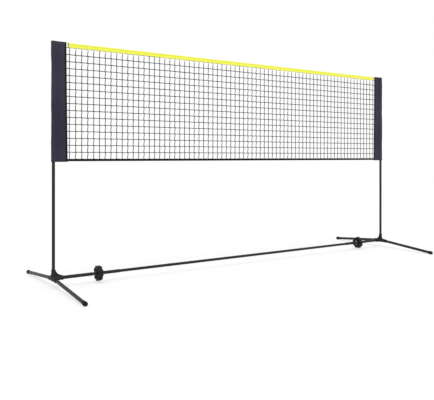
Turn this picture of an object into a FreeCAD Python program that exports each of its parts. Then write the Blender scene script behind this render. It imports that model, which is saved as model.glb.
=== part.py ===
import FreeCAD, Part
import math
import os

import Sketcher
from FreeCAD import Placement, Rotation, Vector

# A free-standing volleyball and badminton net on two telescopic posts.
# X runs along the net, Y from front to back, Z up. The floor is Z = 0 and the
# origin is on the floor, half way between the posts. Lengths are millimetres.
# The model stands at its tall setting. The low setting is height_travel lower.

doc = FreeCAD.newDocument("net_on_poles")
sheet = doc.addObject("Spreadsheet::Sheet", "sizes")

DRIVING_SIZES = (
    ("net_span", 3050, "post axis to post axis, ten feet"),
    ("tall_height", 1550, "floor to the top of the sleeves at the tall setting"),
    ("height_travel", 580, "how far the upper posts slide down to the low setting"),
    ("height_settings", 7, "holes in the row that the snap buttons click into"),
    ("bar_height", 60, "floor to the axis of the base bar"),
    ("foot_tube_dia", 22, "outside of the feet and of the end tubes of the bar"),
    ("foot_tube_wall", 1.2, "wall of the feet and of every bar tube"),
    ("seat_gap", 0.05, "radial gap between a tube and the socket that holds it"),
    ("bar_centre_dia", 19.5, "outside of the two thinner tubes in the middle of the bar"),
    ("post_dia", 20, "outside of the lower posts"),
    ("post_wall", 1, "wall of the lower and upper posts"),
    ("slide_gap", 0.1, "radial gap between a lower and an upper post"),
    ("post_seat", 78, "height of the lower end of the lower posts, inside the hubs"),
    ("lower_post_top", 910, "height of the upper end of the lower posts"),
    ("upper_post_end", 770, "height of the lower end of the upper posts"),
    ("button_height", 870, "height of the snap buttons at the tall setting"),
    ("button_dia", 8, "the round part of a snap button that fills the hole"),
    ("hub_socket_wall", 3, "plastic wall round a tube that is plugged into a hub"),
    ("hub_seat", 22, "hub centre to the bottom of its three level sockets"),
    ("hub_post_mouth", 54, "hub centre to the mouth of the post socket"),
    ("hub_tube_mouth", 60, "hub centre to the mouths of the bar and foot sockets"),
    ("hub_lip", 6, "length of the thicker lip round the mouth of a socket"),
    ("hub_lip_height", 1.5, "how far that lip stands proud"),
    ("hub_flare", 5, "how much thicker a socket is where it grows out of the hub"),
    ("hub_flare_length", 42, "hub centre to where that thickening has run out"),
    ("hub_web", 5, "thickness of the web between post socket and bar socket"),
    ("hub_web_belly", 14, "distance of the web's hollow edge from both sockets"),
    ("foot_end", 548, "hub centre to the outer end of a rubber foot cap"),
    ("cap_reach", 32, "length of a foot cap"),
    ("cap_floor", 5, "rubber beyond the end of the tube"),
    ("cap_dia", 28, "widest part of a foot cap"),
    ("cap_round", 5, "rounding of a foot cap's end"),
    ("cap_mouth_dia", 25.4, "foot cap at its mouth"),
    ("cap_axis_height", 13.2, "foot axis above the floor where the cap is widest"),
    ("knob_offset", 300, "post axis to the middle of a tension nut"),
    ("knob_dia", 100, "over the lobes of a tension nut"),
    ("knob_thick", 32, "lobed part of a tension nut along the bar"),
    ("knob_boss_length", 38, "middle boss of a tension nut along the bar"),
    ("knob_boss_dia", 40, "middle boss of a tension nut"),
    ("knob_lobes", 9, "finger lobes round a tension nut"),
    ("knob_lobe_dia", 25, "round end of one finger lobe"),
    ("knob_valley_dia", 84, "across the valleys between the lobes"),
    ("knob_valley_round", 4, "rounding where a lobe meets a valley"),
    ("knob_bevel", 2.5, "bevel of the outer edges of a tension nut"),
    ("knob_recess", 7, "depth of the ring-shaped hollow in each face"),
    ("knob_rim", 9, "wall left outside that hollow"),
    ("thread_dia", 16, "tension screw over its thread"),
    ("thread_gap", 0.1, "radial gap between tension screw and nut"),
    ("tension_travel", 18, "how far a tension nut backs off along its screw"),
    ("washer_thick", 2.5, "thrust washer between nut and bar tube"),
    ("joint_tube_end", 450, "post axis to the end of the wider bar tube"),
    ("centre_tube_start", 398, "post axis to the hidden end of the thinner bar tube"),
    ("spigot_length", 160, "hidden peg that joins the two thinner tubes"),
    ("sleeve_height", 760, "fabric sleeve from top to bottom"),
    ("sleeve_reach_top", 81, "post axis to the inner edge of a sleeve at its top"),
    ("sleeve_reach_bottom", 89, "post axis to the inner edge of a sleeve at its foot"),
    ("pocket_dia", 26, "bore of the pocket that the post stands in"),
    ("cloth_wall", 1.5, "fabric round the pocket"),
    ("sleeve_edge", 3.6, "thickness of the sewn inner edge of a sleeve"),
    ("sleeve_seam", 7, "width over which the two plies are sewn to each other"),
    ("sleeve_roof", 3, "folded fabric that closes the pocket over the post"),
    ("band_drop", 5, "top of the band below the top of the sleeves"),
    ("band_height", 28, "yellow band, head cord included"),
    ("band_gap", 13, "inner edge of a sleeve to the end of the band"),
    ("band_leg", 4, "the two plies of the band with the net between them"),
    ("head_cord_dia", 6, "cord that the band is folded over"),
    ("head_fold_dia", 9, "band where it passes over the head cord"),
    ("hem_lift", 6, "bottom of the sleeve to the bottom of the black hem"),
    ("hem_height", 11, "black hem along the foot of the net"),
    ("hem_thick", 5, "black hem from front to back"),
    ("foot_cord_dia", 2.6, "cord inside the hem"),
    ("lashing_cord", 2, "thickness of the cord that ties the band to the net"),
    ("lashing_width", 5, "turns of that cord, side by side"),
    ("lashing_inset", 4, "end of the band to the middle of its lashing"),
    ("mesh_width", 40.6, "strand to strand along the real net"),
    ("net_columns", 35, "full gaps along the simplified net, two real meshes wide"),
    ("net_rows", 8, "gaps up the simplified net, two real meshes high"),
    ("net_twine", 6, "width of a strand of the simplified net"),
    ("net_thick", 4, "thickness of the net"),
)

for row, (alias, number, note) in enumerate(DRIVING_SIZES, start=1):
    sheet.set("A%d" % row, note)
    sheet.set("B%d" % row, str(number))
    sheet.setAlias("B%d" % row, alias)
doc.recompute()

SIDES = (("left", -1), ("right", 1))
UP = Vector(0, 0, 1)
sub_parts = []


def size(alias):
    """A driving dimension as a number."""
    return float(sheet.get(alias))


def worked_out(expression):
    """The present value of a size expression."""
    return float(sheet.evalExpression(str(expression)))


def place(x, y, z, axis=UP):
    """Puts a piece that was drawn along +Z at a point, along another axis."""
    return Placement(Vector(x, y, z), Rotation(UP, axis))


def post_x(side):
    """Where the axis of a post is."""
    return side * size("net_span") / 2


def inwards(side):
    """Direction from a post to the middle of the net."""
    return Vector(-side, 0, 0)


def turned_inwards(side, z):
    """Puts a piece that was drawn with the net on its +X side on either post."""
    turn = 0 if side < 0 else 180
    return Placement(Vector(post_x(side), 0, z), Rotation(UP, turn))


def keep(piece, label):
    """Names a finished sub-part and puts it on the list of files to write."""
    piece.Label = label
    sub_parts.append(piece)
    return piece


# Sketch and feature helpers

def new_body(label):
    return doc.addObject("PartDesign::Body", label)


def origin_plane(body, role):
    return next(item for item in body.Origin.OriginFeatures if item.Role == role)


def new_sketch(body, name, plane="XY_Plane", lift=None):
    """A sketch on one of the body's own planes, raised along its normal."""
    sketch = body.newObject("Sketcher::SketchObject", name)
    sketch.AttachmentSupport = [(origin_plane(body, plane), "")]
    sketch.MapMode = "FlatFace"
    if lift is not None:
        sketch.setExpression("AttachmentOffset.Base.z", lift)
    return sketch


def bind(sketch, constraint, name, expression):
    """Adds a named constraint whose value follows the sheet."""
    number = sketch.addConstraint(constraint)
    sketch.renameConstraint(number, name)
    sketch.setExpression("Constraints." + name, expression)


def fix_point(sketch, curve, end, name, x, y):
    """Ties a point to the sketch origin by two distances that follow the sheet."""
    for axis, kind, text in ((-2, "DistanceX", x), (-1, "DistanceY", y)):
        if text == "0":
            sketch.addConstraint(Sketcher.Constraint("PointOnObject", curve, end, axis))
            continue
        distance = Sketcher.Constraint(kind, -1, 1, curve, end, worked_out(text))
        bind(sketch, distance, name + kind[-1], text)


def draw_circle(sketch, name, diameter, x="0", y="0"):
    centre = Vector(worked_out(x), worked_out(y), 0)
    radius = worked_out(diameter) / 2
    curve = sketch.addGeometry(Part.Circle(centre, UP, radius), False)
    fix_point(sketch, curve, 3, name, x, y)
    bind(sketch, Sketcher.Constraint("Diameter", curve, 2 * radius), name, diameter)


def arc_middle(start, end, radius):
    """Middle of the shorter arc that passes to the right of the line start-end."""
    chord = end - start
    right = Vector(chord.y, -chord.x, 0).normalize()
    rise = radius - math.sqrt(max(radius ** 2 - chord.Length ** 2 / 4, 0))
    return (start + end) * 0.5 + right * rise


def draw_outline(sketch, corners, arcs=None, name="corner"):
    """A closed outline of lines, with an arc of a given radius where one is named.

    corners holds a pair of size expressions for each corner, anticlockwise. arcs
    holds a radius for each side, counted from 0, that bulges outwards.
    """
    arcs = arcs or {}
    points = [Vector(worked_out(x), worked_out(y), 0) for x, y in corners]
    sides = []
    for number, start in enumerate(points):
        end = points[(number + 1) % len(points)]
        if number in arcs:
            middle = arc_middle(start, end, worked_out(arcs[number]))
            sides.append(Part.Arc(start, middle, end))
        else:
            sides.append(Part.LineSegment(start, end))
    curves = [sketch.addGeometry(side, False) for side in sides]
    for number, (x, y) in enumerate(corners):
        following = (number + 1) % len(corners)
        meeting = Sketcher.Constraint("Coincident", curves[number], 2, curves[following], 1)
        sketch.addConstraint(meeting)
        fix_point(sketch, curves[number], 1, "%s%d" % (name, number), x, y)
    for number, radius in arcs.items():
        rounding = Sketcher.Constraint("Radius", curves[number], worked_out(radius))
        bind(sketch, rounding, "%sarc%d" % (name, number), radius)


def draw_rounded_box(sketch, width, height, radius, base, name="corner"):
    """A box with rounded corners, centred sideways, that starts at height base."""
    half = "(%s) / 2" % width
    inner = "(%s) / 2 - (%s)" % (width, radius)
    low = "(%s) + (%s)" % (base, radius)
    top = "(%s) + (%s)" % (base, height)
    high = "%s - (%s)" % (top, radius)
    corners = (
        ("-(%s)" % inner, base), (inner, base), (half, low), (half, high),
        (inner, top), ("-(%s)" % inner, top), ("-(%s)" % half, high), ("-(%s)" % half, low),
    )
    draw_outline(sketch, corners, {1: radius, 3: radius, 5: radius, 7: radius}, name)


def pad(body, sketch, length, midplane=False):
    feature = body.newObject("PartDesign::Pad", sketch.Name + "_pad")
    feature.Profile = sketch
    feature.setExpression("Length", length)
    feature.Midplane = midplane
    sketch.Visibility = False
    return feature


def pocket(body, sketch, length, reverse=False, midplane=False):
    """Cuts a sketch into the body and makes sure that it did cut."""
    doc.recompute()
    before = body.Shape.Volume
    feature = body.newObject("PartDesign::Pocket", sketch.Name + "_cut")
    feature.Profile = sketch
    feature.setExpression("Length", length)
    feature.Reversed = reverse
    feature.Midplane = midplane
    doc.recompute()
    if body.Shape.Volume >= before:
        raise RuntimeError(sketch.Name + " cuts nothing")
    return feature


def revolve(body, corners, arcs=None):
    """Turns an outline of (radius, height) corners round the body's Z axis."""
    sketch = new_sketch(body, body.Name + "_profile", "XZ_Plane")
    draw_outline(sketch, corners, arcs)
    feature = body.newObject("PartDesign::Revolution", body.Name + "_turned")
    feature.Profile = sketch
    feature.ReferenceAxis = (sketch, ["V_Axis"])
    feature.Angle = 360
    return feature


def edge_names(shape, fits):
    """Names of the edges that a test picks out."""
    numbered = enumerate(shape.Edges, start=1)
    return ["Edge%d" % number for number, edge in numbered if fits(edge)]


def ring_edges(shape, z, diameter):
    """Names of the round edges of a shape at one height and of one diameter."""
    def fits(edge):
        curve = edge.Curve
        if not isinstance(curve, Part.Circle):
            return False
        on_axis = math.hypot(curve.Center.x, curve.Center.y) < 0.01
        same_height = abs(curve.Center.z - z) < 0.01
        same_size = abs(2 * curve.Radius - diameter) < 0.01
        return on_axis and same_height and same_size
    return edge_names(shape, fits)


def upright_edges(shape, diameter):
    """Names of the straight edges along Z that stand on one diameter."""
    def fits(edge):
        if not isinstance(edge.Curve, Part.Line):
            return False
        reach = [math.hypot(corner.X, corner.Y) for corner in edge.Vertexes]
        return all(abs(2 * distance - diameter) < 0.01 for distance in reach)
    return edge_names(shape, fits)


def level_edges(shape, z):
    """Names of the edges that lie flat at one height."""
    def fits(edge):
        box = edge.BoundBox
        return abs(box.ZMin - z) < 0.01 and abs(box.ZMax - z) < 0.01
    return edge_names(shape, fits)


def round_edges(body, names, radius):
    base = body.Tip
    feature = body.newObject("PartDesign::Fillet", body.Name + "_round")
    feature.Base = (base, names)
    feature.setExpression("Radius", str(radius))
    doc.recompute()
    return feature


def bevel_edges(body, names, width):
    base = body.Tip
    feature = body.newObject("PartDesign::Chamfer", body.Name + "_bevel")
    feature.Base = (base, names)
    feature.setExpression("Size", width)
    doc.recompute()
    return feature


def make_tube(label, outer, bore, length, position):
    """A plain round tube that starts at its position."""
    body = new_body(label)
    ring = new_sketch(body, label + "_ring")
    draw_circle(ring, "outer", outer)
    draw_circle(ring, "bore", bore)
    pad(body, ring, length)
    body.Placement = position
    return body


# Hubs: a moulded joint that takes the post, the base bar and two feet

def foot_slope():
    """Angle in degrees by which a foot runs down from the hub to the floor."""
    drop = size("bar_height") - size("cap_axis_height")
    run = size("foot_end") - size("cap_reach") / 4
    return math.degrees(math.asin(drop / run))


def foot_axis(way):
    """Direction of a foot: way is -1 for the front and 1 for the back."""
    slope = math.radians(foot_slope())
    return Vector(0, way * math.cos(slope), -math.sin(slope))


def cylinder(name, diameter, length, position):
    piece = doc.addObject("Part::Cylinder", name)
    piece.setExpression("Radius", "(%s) / 2" % diameter)
    piece.setExpression("Height", length)
    piece.Placement = position
    return piece


def flare(name, socket_dia, position):
    """A cone that thickens a socket towards the middle of the hub."""
    piece = doc.addObject("Part::Cone", name)
    piece.setExpression("Radius1", "%s / 2 + sizes.hub_flare" % socket_dia)
    piece.setExpression("Radius2", "%s / 2" % socket_dia)
    piece.setExpression("Height", "sizes.hub_flare_length")
    piece.Placement = position
    return piece


def make_hub(name, side):
    label = name + "_hub"
    socket_dia = "(%s + 2 * sizes.hub_socket_wall)"
    lip_dia = "(%s + 2 * sizes.hub_socket_wall + 2 * sizes.hub_lip_height)"
    arms = (
        ("post", "sizes.post_dia", "sizes.hub_post_mouth", UP),
        ("bar", "sizes.foot_tube_dia", "sizes.hub_tube_mouth", Vector(1, 0, 0)),
        ("front", "sizes.foot_tube_dia", "sizes.hub_tube_mouth", foot_axis(-1)),
        ("back", "sizes.foot_tube_dia", "sizes.hub_tube_mouth", foot_axis(1)),
    )
    plastic = []
    bores = []
    for arm, tube_dia, mouth, axis in arms:
        along = place(0, 0, 0, axis)
        lip_start = axis * (worked_out(mouth) - size("hub_lip"))
        seat = axis * worked_out(seat_of(arm))
        plastic.append(cylinder(label + "_" + arm, socket_dia % tube_dia, mouth, along))
        plastic.append(flare(label + "_" + arm + "_flare", socket_dia % tube_dia, along))
        lip = cylinder(label + "_" + arm + "_lip", lip_dia % tube_dia, "sizes.hub_lip",
                       place(lip_start.x, lip_start.y, lip_start.z, axis))
        plastic.append(lip)
        bore_dia = "(%s + 2 * sizes.seat_gap)" % tube_dia
        depth = "%s - (%s) + 1" % (mouth, seat_of(arm))
        bores.append(cylinder(label + "_" + arm + "_bore", bore_dia, depth,
                              place(seat.x, seat.y, seat.z, axis)))
    middle = doc.addObject("Part::Sphere", label + "_middle")
    ball = "sizes.foot_tube_dia / 2 + sizes.hub_socket_wall + sizes.hub_flare"
    middle.setExpression("Radius", ball)
    plastic.append(middle)
    plastic.append(make_hub_web(label))
    block = doc.addObject("Part::MultiFuse", label + "_block")
    block.Shapes = plastic
    hollow = doc.addObject("Part::MultiFuse", label + "_hollow")
    hollow.Shapes = bores
    hub = doc.addObject("Part::Cut", label)
    hub.Base = block
    hub.Tool = hollow
    hub.Placement = turned_inwards(side, size("bar_height"))
    return keep(hub, label)


def seat_of(arm):
    """Expression for the depth at which a tube bottoms out in its socket."""
    if arm == "post":
        return "sizes.post_seat - sizes.bar_height"
    return "sizes.hub_seat"


def make_hub_web(label):
    """The web in the corner between post socket and bar socket, with a hollow edge."""
    body = new_body(label + "_web")
    sketch = new_sketch(body, label + "_web_sketch", "XZ_Plane")
    top = "sizes.hub_post_mouth - sizes.hub_lip"
    far = "sizes.hub_tube_mouth - sizes.hub_lip"
    beside_post = "sizes.post_dia / 2 + sizes.hub_socket_wall"
    over_bar = "sizes.foot_tube_dia / 2 + sizes.hub_socket_wall"
    belly = (beside_post + " + sizes.hub_web_belly", over_bar + " + sizes.hub_web_belly")
    corners = (("0", "0"), (far, "0"), (far, over_bar), belly, (beside_post, top), ("0", top))
    draw_outline(sketch, corners)
    pad(body, sketch, "sizes.hub_web", midplane=True)
    return body


# Feet: a sloping tube with a rubber cap on its end

FLOOR_BLOCK = 120

def make_foot(name, side, end_name, way):
    axis = foot_axis(way)
    start = axis * size("hub_seat")
    position = place(post_x(side), start.y, size("bar_height") + start.z, axis)
    length = "sizes.foot_end - sizes.cap_floor - sizes.hub_seat"
    bore = "sizes.foot_tube_dia - 2 * sizes.foot_tube_wall"
    label = "%s_%s_foot" % (name, end_name)
    return keep(make_tube(label, "sizes.foot_tube_dia", bore, length, position), label)


def make_foot_cap(name, side, end_name, way):
    """A rubber cap that swells towards its round end, worn flat where it stands."""
    label = "%s_%s_foot_cap" % (name, end_name)
    body = new_body(label + "_round")
    bore = "sizes.foot_tube_dia / 2 + sizes.seat_gap"
    widest = "sizes.cap_dia / 2"
    mouth = "sizes.cap_mouth_dia / 2"
    swell = "sizes.cap_reach * 0.6"
    seat = "sizes.cap_reach - sizes.cap_floor"
    corners = (("0", seat), (bore, seat), (bore, "0"), (mouth, "0"), (widest, swell),
               (widest, "sizes.cap_reach"), ("0", "sizes.cap_reach"))
    revolve(body, corners)
    doc.recompute()
    rim = ring_edges(body.Shape, size("cap_reach"), size("cap_dia"))
    round_edges(body, rim, "sizes.cap_round")
    axis = foot_axis(way)
    start = axis * (size("foot_end") - size("cap_reach"))
    body.Placement = place(post_x(side), start.y, size("bar_height") + start.z, axis)
    floor = doc.addObject("Part::Box", label + "_floor")
    floor.Length = FLOOR_BLOCK
    floor.Width = FLOOR_BLOCK
    floor.Height = FLOOR_BLOCK
    middle = FLOOR_BLOCK / 2
    floor.Placement = place(post_x(side) - middle, way * size("foot_end") - middle, -FLOOR_BLOCK)
    cap = doc.addObject("Part::Cut", label)
    cap.Base = body
    cap.Tool = floor
    return keep(cap, label)


# Base bar: tubes and the two nuts that stretch the net

def along_bar(side, distance):
    """Places a piece on the bar at a distance from the post axis, facing inwards."""
    x = post_x(side) - side * distance
    return place(x, 0, size("bar_height"), inwards(side))


NUT_START = "sizes.knob_offset - sizes.knob_boss_length / 2"
WASHER_START = "sizes.knob_offset + sizes.knob_boss_length / 2"
JOINT_START = WASHER_START + " + sizes.washer_thick"
SHOULDER = 4
SCREW_PLUG = 40
SCREW_SPARE = 30
SCREW_CHAMFER = 3
BEAD_DEPTH = 0.9
BEAD_HALF = 2.5
END_TUBE_END = "%s - sizes.tension_travel - 1 - %d" % (NUT_START, SHOULDER)
BAR_BORE = "sizes.foot_tube_dia - 2 * sizes.foot_tube_wall"


def make_bar_end_tube(name, side):
    label = name + "_bar_end_tube"
    length = END_TUBE_END + " - sizes.hub_seat"
    position = along_bar(side, size("hub_seat"))
    return keep(make_tube(label, "sizes.foot_tube_dia", BAR_BORE, length, position), label)


def make_tension_screw(name, side):
    """A plug in the end tube, a shoulder that stops on it and the screw itself."""
    label = name + "_tension_screw"
    body = new_body(label)
    plug = "%s / 2 - sizes.seat_gap" % ("(" + BAR_BORE + ")")
    shoulder = "sizes.foot_tube_dia / 2"
    screw = "sizes.thread_dia / 2"
    neck = str(SCREW_PLUG)
    step = str(SCREW_PLUG + SHOULDER)
    tip = "%s + sizes.tension_travel + 1 + sizes.knob_boss_length + %d" % (step, SCREW_SPARE)
    chamfer = " - %d" % SCREW_CHAMFER
    corners = (("0", "0"), (plug, "0"), (plug, neck), (shoulder, neck), (shoulder, step),
               (screw, step), (screw, tip + chamfer), (screw + chamfer, tip), ("0", tip))
    revolve(body, corners)
    body.Placement = along_bar(side, worked_out(END_TUBE_END) - SCREW_PLUG)
    return keep(body, label)


def make_tension_nut(name, side):
    """A hand nut with finger lobes, a hollow in each face and a boss for the screw."""
    label = name + "_tension_nut"
    body = new_body(label)
    length = "sizes.knob_boss_length"
    overhang = "(sizes.knob_boss_length - sizes.knob_thick) / 2"
    disc = new_sketch(body, label + "_disc", lift=overhang)
    draw_circle(disc, "valleys", "sizes.knob_valley_dia")
    pad(body, disc, "sizes.knob_thick")
    lobe = new_sketch(body, label + "_lobe", lift=overhang)
    lobe_centre = "(sizes.knob_dia - sizes.knob_lobe_dia) / 2"
    draw_circle(lobe, "lobe", "sizes.knob_lobe_dia", lobe_centre)
    first_lobe = pad(body, lobe, "sizes.knob_thick")
    doc.recompute()
    lobes = body.newObject("PartDesign::PolarPattern", label + "_lobes")
    lobes.Originals = [first_lobe]
    lobes.Axis = (lobe, ["N_Axis"])
    lobes.Angle = 360
    lobes.setExpression("Occurrences", "sizes.knob_lobes")
    body.Tip = lobes
    doc.recompute()
    valleys = upright_edges(body.Shape, size("knob_valley_dia"))
    round_edges(body, valleys, "sizes.knob_valley_round")
    outer_edges = level_edges(body.Shape, worked_out(overhang))
    outer_edges += level_edges(body.Shape, worked_out(overhang + " + sizes.knob_thick"))
    bevel_edges(body, outer_edges, "sizes.knob_bevel")
    hollow_dia = "sizes.knob_valley_dia - 2 * sizes.knob_rim"
    far_face = "%s + sizes.knob_thick - sizes.knob_recess" % overhang
    for face, lift in (("near", overhang), ("far", far_face)):
        hollow = new_sketch(body, "%s_%s_hollow" % (label, face), lift=lift)
        draw_circle(hollow, "outer", hollow_dia)
        draw_circle(hollow, "inner", "sizes.knob_boss_dia")
        pocket(body, hollow, "sizes.knob_recess", reverse=True)
    boss = new_sketch(body, label + "_boss")
    draw_circle(boss, "boss", "sizes.knob_boss_dia")
    pad(body, boss, length)
    doc.recompute()
    bore = new_sketch(body, label + "_bore")
    draw_circle(bore, "bore", "sizes.thread_dia + 2 * sizes.thread_gap")
    pocket(body, bore, length, reverse=True)
    body.Placement = along_bar(side, worked_out(NUT_START))
    return keep(body, label)


def make_thrust_washer(name, side):
    label = name + "_thrust_washer"
    position = along_bar(side, worked_out(WASHER_START))
    bore = "sizes.thread_dia + 2 * sizes.thread_gap"
    washer = make_tube(label, "sizes.foot_tube_dia + 8", bore, "sizes.washer_thick", position)
    return keep(washer, label)


def make_bar_joint_tube(name, side):
    """The wider bar tube, with a rolled bead that stops the thinner tube inside it."""
    label = name + "_bar_joint_tube"
    body = new_body(label)
    outer = "sizes.foot_tube_dia / 2"
    bore = "sizes.foot_tube_dia / 2 - sizes.foot_tube_wall"
    dip = " - %g" % BEAD_DEPTH
    length = "sizes.joint_tube_end - (%s)" % JOINT_START
    bead = "sizes.centre_tube_start - %g - (%s)" % (BEAD_HALF, JOINT_START)
    before = bead + " - %g" % BEAD_HALF
    after = bead + " + %g" % BEAD_HALF
    corners = (
        (bore, "0"), (outer, "0"), (outer, before), (outer + dip, bead), (outer, after),
        (outer, length), (bore, length), (bore, after), (bore + dip, bead), (bore, before),
    )
    revolve(body, corners)
    body.Placement = along_bar(side, worked_out(JOINT_START))
    return keep(body, label)


def make_bar_centre_tube(name, side):
    label = name + "_bar_centre_tube"
    bore = "sizes.bar_centre_dia - 2 * sizes.foot_tube_wall"
    length = "sizes.net_span / 2 - sizes.centre_tube_start"
    position = along_bar(side, size("centre_tube_start"))
    return keep(make_tube(label, "sizes.bar_centre_dia", bore, length, position), label)


def make_bar_spigot():
    """A peg of tube hidden in the middle of the bar."""
    label = "bar_centre_spigot"
    outer = "sizes.bar_centre_dia - 2 * sizes.foot_tube_wall - 2 * sizes.seat_gap"
    bore = outer + " - 2 * sizes.foot_tube_wall"
    position = place(-size("spigot_length") / 2, 0, size("bar_height"), Vector(1, 0, 0))
    return keep(make_tube(label, outer, bore, "sizes.spigot_length", position), label)


# Posts: an upper tube slides in a lower one and locks with a snap button

UPPER_DIA = "sizes.post_dia - 2 * sizes.post_wall - 2 * sizes.slide_gap"
UPPER_BORE = UPPER_DIA + " - 2 * sizes.post_wall"
POST_CAP_HEAD = 8
POST_CAP_STEM = -18
POST_CAP_BRIM = 0.6
POST_CAP_BEVEL = 2
LOWER_HOLE_PLAY = 0.4
UPPER_HOLE_PLAY = 0.2


def punch_button_hole(body, diameter, height, reach):
    """Cuts a round hole through the back wall of an upright tube."""
    sketch = new_sketch(body, body.Name + "_hole", "XZ_Plane")
    draw_circle(sketch, "hole", diameter, y=height)
    return sketch, pocket(body, sketch, reach)


def make_lower_post(name, side):
    label = name + "_lower_post"
    length = "sizes.lower_post_top - sizes.post_seat"
    bore = "sizes.post_dia - 2 * sizes.post_wall"
    position = place(post_x(side), 0, size("post_seat"))
    body = make_tube(label, "sizes.post_dia", bore, length, position)
    lowest = "sizes.button_height - sizes.height_travel - sizes.post_seat"
    hole_dia = "sizes.button_dia + %g" % LOWER_HOLE_PLAY
    sketch, first_hole = punch_button_hole(body, hole_dia, lowest, "sizes.post_dia")
    row = body.newObject("PartDesign::LinearPattern", label + "_hole_row")
    row.Originals = [first_hole]
    row.Direction = (sketch, ["V_Axis"])
    row.setExpression("Length", "sizes.height_travel")
    row.setExpression("Occurrences", "sizes.height_settings")
    body.Tip = row
    return keep(body, label)


def make_upper_post(name, side):
    label = name + "_upper_post"
    top = "sizes.tall_height - sizes.sleeve_roof - %d" % POST_CAP_HEAD
    length = top + " - sizes.upper_post_end"
    position = place(post_x(side), 0, size("upper_post_end"))
    body = make_tube(label, UPPER_DIA, UPPER_BORE, length, position)
    height = "sizes.button_height - sizes.upper_post_end"
    hole_dia = "sizes.button_dia + %g" % UPPER_HOLE_PLAY
    punch_button_hole(body, hole_dia, height, "sizes.post_dia")
    return keep(body, label)


def make_post_cap(name, side):
    """A plastic plug that keeps the rim of the upper post off the fabric."""
    label = name + "_post_cap"
    body = new_body(label)
    stem = "(%s) / 2 - sizes.seat_gap" % UPPER_BORE
    head = "(%s) / 2 + %g" % (UPPER_DIA, POST_CAP_BRIM)
    top = str(POST_CAP_HEAD)
    foot = str(POST_CAP_STEM)
    bevel = " - %d" % POST_CAP_BEVEL
    corners = (("0", foot), (stem, foot), (stem, "0"), (head, "0"), (head, top + bevel),
               (head + bevel, top), ("0", top))
    revolve(body, corners)
    height = size("tall_height") - size("sleeve_roof") - POST_CAP_HEAD
    body.Placement = place(post_x(side), 0, height)
    return keep(body, label)


BUTTON_SEAT = 4.9
BUTTON_REACH = 7.4
BUTTON_DOME = 2.5
FLANGE_RIM = 0.8
FLANGE_THICK = 1
CLIP_STEEL = 0.8
CLIP_BACK = 6.9
CLIP_LEG_TOP = 8
CLIP_BEND = -30


def make_snap_button(name, side):
    """A domed pin with a flange that stops behind the wall of the upper post."""
    label = name + "_snap_button"
    body = new_body(label)
    pin = "sizes.button_dia / 2"
    flange = pin + " + %g" % FLANGE_RIM
    step = str(FLANGE_THICK)
    tip = str(BUTTON_REACH)
    corners = (("0", "0"), (flange, "0"), (flange, step), (pin, step), (pin, tip), ("0", tip))
    revolve(body, corners)
    doc.recompute()
    rim = ring_edges(body.Shape, BUTTON_REACH, size("button_dia"))
    round_edges(body, rim, BUTTON_DOME)
    backwards = Vector(0, 1, 0)
    body.Placement = place(post_x(side), BUTTON_SEAT, size("button_height"), backwards)
    return keep(body, label)


def make_button_clip(name, side):
    """A bent spring strip: one leg pushes the button out, the other rests on the tube."""
    label = name + "_button_clip"
    body = new_body(label)
    width = "sizes.button_dia - 2"
    outside = new_sketch(body, label + "_outside", "YZ_Plane")
    draw_clip_outline(outside, 0, CLIP_LEG_TOP)
    pad(body, outside, width, midplane=True)
    inside = new_sketch(body, label + "_inside", "YZ_Plane")
    draw_clip_outline(inside, CLIP_STEEL, CLIP_LEG_TOP + 1)
    pocket(body, inside, width, midplane=True)
    body.Placement = place(post_x(side), 0, size("button_height"))
    return keep(body, label)


def draw_clip_outline(sketch, inset, top):
    """Two straight legs joined by a round bend, drawn inside the strip by an inset."""
    front = BUTTON_SEAT - inset
    back = inset - CLIP_BACK
    middle = (front + back) / 2
    bend = (front - back) / 2
    corners = ((back, CLIP_BEND), (middle, CLIP_BEND - bend), (front, CLIP_BEND),
               (front, top), (back, top))
    texts = [(str(x), str(y)) for x, y in corners]
    draw_outline(sketch, texts, {0: str(bend), 1: str(bend)})


# Sleeves: fabric pockets that slip over the posts, closed at the top

PLY_GAP_HALF = "0.5"

def draw_sleeve_section(sketch, reach, radius, edge):
    """Round over the post, then flat towards the sewn edge where the net begins."""
    touch_x = radius + " * cos(80 deg)"
    touch_y = radius + " * sin(80 deg)"
    corners = ((reach, "-" + edge), (reach, edge), (touch_x, touch_y),
               ("-" + radius, "0"), (touch_x, "-" + touch_y))
    draw_outline(sketch, corners, {2: radius, 3: radius})


def make_sleeve(name, side):
    """Two plies of cloth that meet in the sewn edge and wrap round the post."""
    label = name + "_sleeve"
    body = new_body(label)
    outer = "(sizes.pocket_dia / 2 + sizes.cloth_wall)"
    inner = "(sizes.pocket_dia / 2)"
    edge = "sizes.sleeve_edge / 2"
    foot = new_sketch(body, label + "_foot")
    draw_sleeve_section(foot, "sizes.sleeve_reach_bottom", outer, edge)
    head = new_sketch(body, label + "_head", lift="sizes.sleeve_height")
    draw_sleeve_section(head, "sizes.sleeve_reach_top", outer, edge)
    cloth = body.newObject("PartDesign::AdditiveLoft", label + "_cloth")
    cloth.Profile = foot
    cloth.Sections = [head]
    cloth.Ruled = True
    inside = new_sketch(body, label + "_inside")
    seam = "(sizes.sleeve_reach_top - sizes.sleeve_seam)"
    draw_sleeve_section(inside, seam, inner, PLY_GAP_HALF)
    pocket(body, inside, "sizes.sleeve_height - sizes.sleeve_roof", reverse=True)
    body.Placement = turned_inwards(side, size("tall_height") - size("sleeve_height"))
    return keep(body, label)


# Net: band, head cord, mesh, hem and foot cord

def sleeve_edge_x(height):
    """Distance from the middle of the net to the sewn edge of a sleeve at a height."""
    foot = size("tall_height") - size("sleeve_height")
    share = (height - foot) / size("sleeve_height")
    narrowing = (size("sleeve_reach_bottom") - size("sleeve_reach_top")) * share
    return size("net_span") / 2 - size("sleeve_reach_bottom") + narrowing


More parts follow.
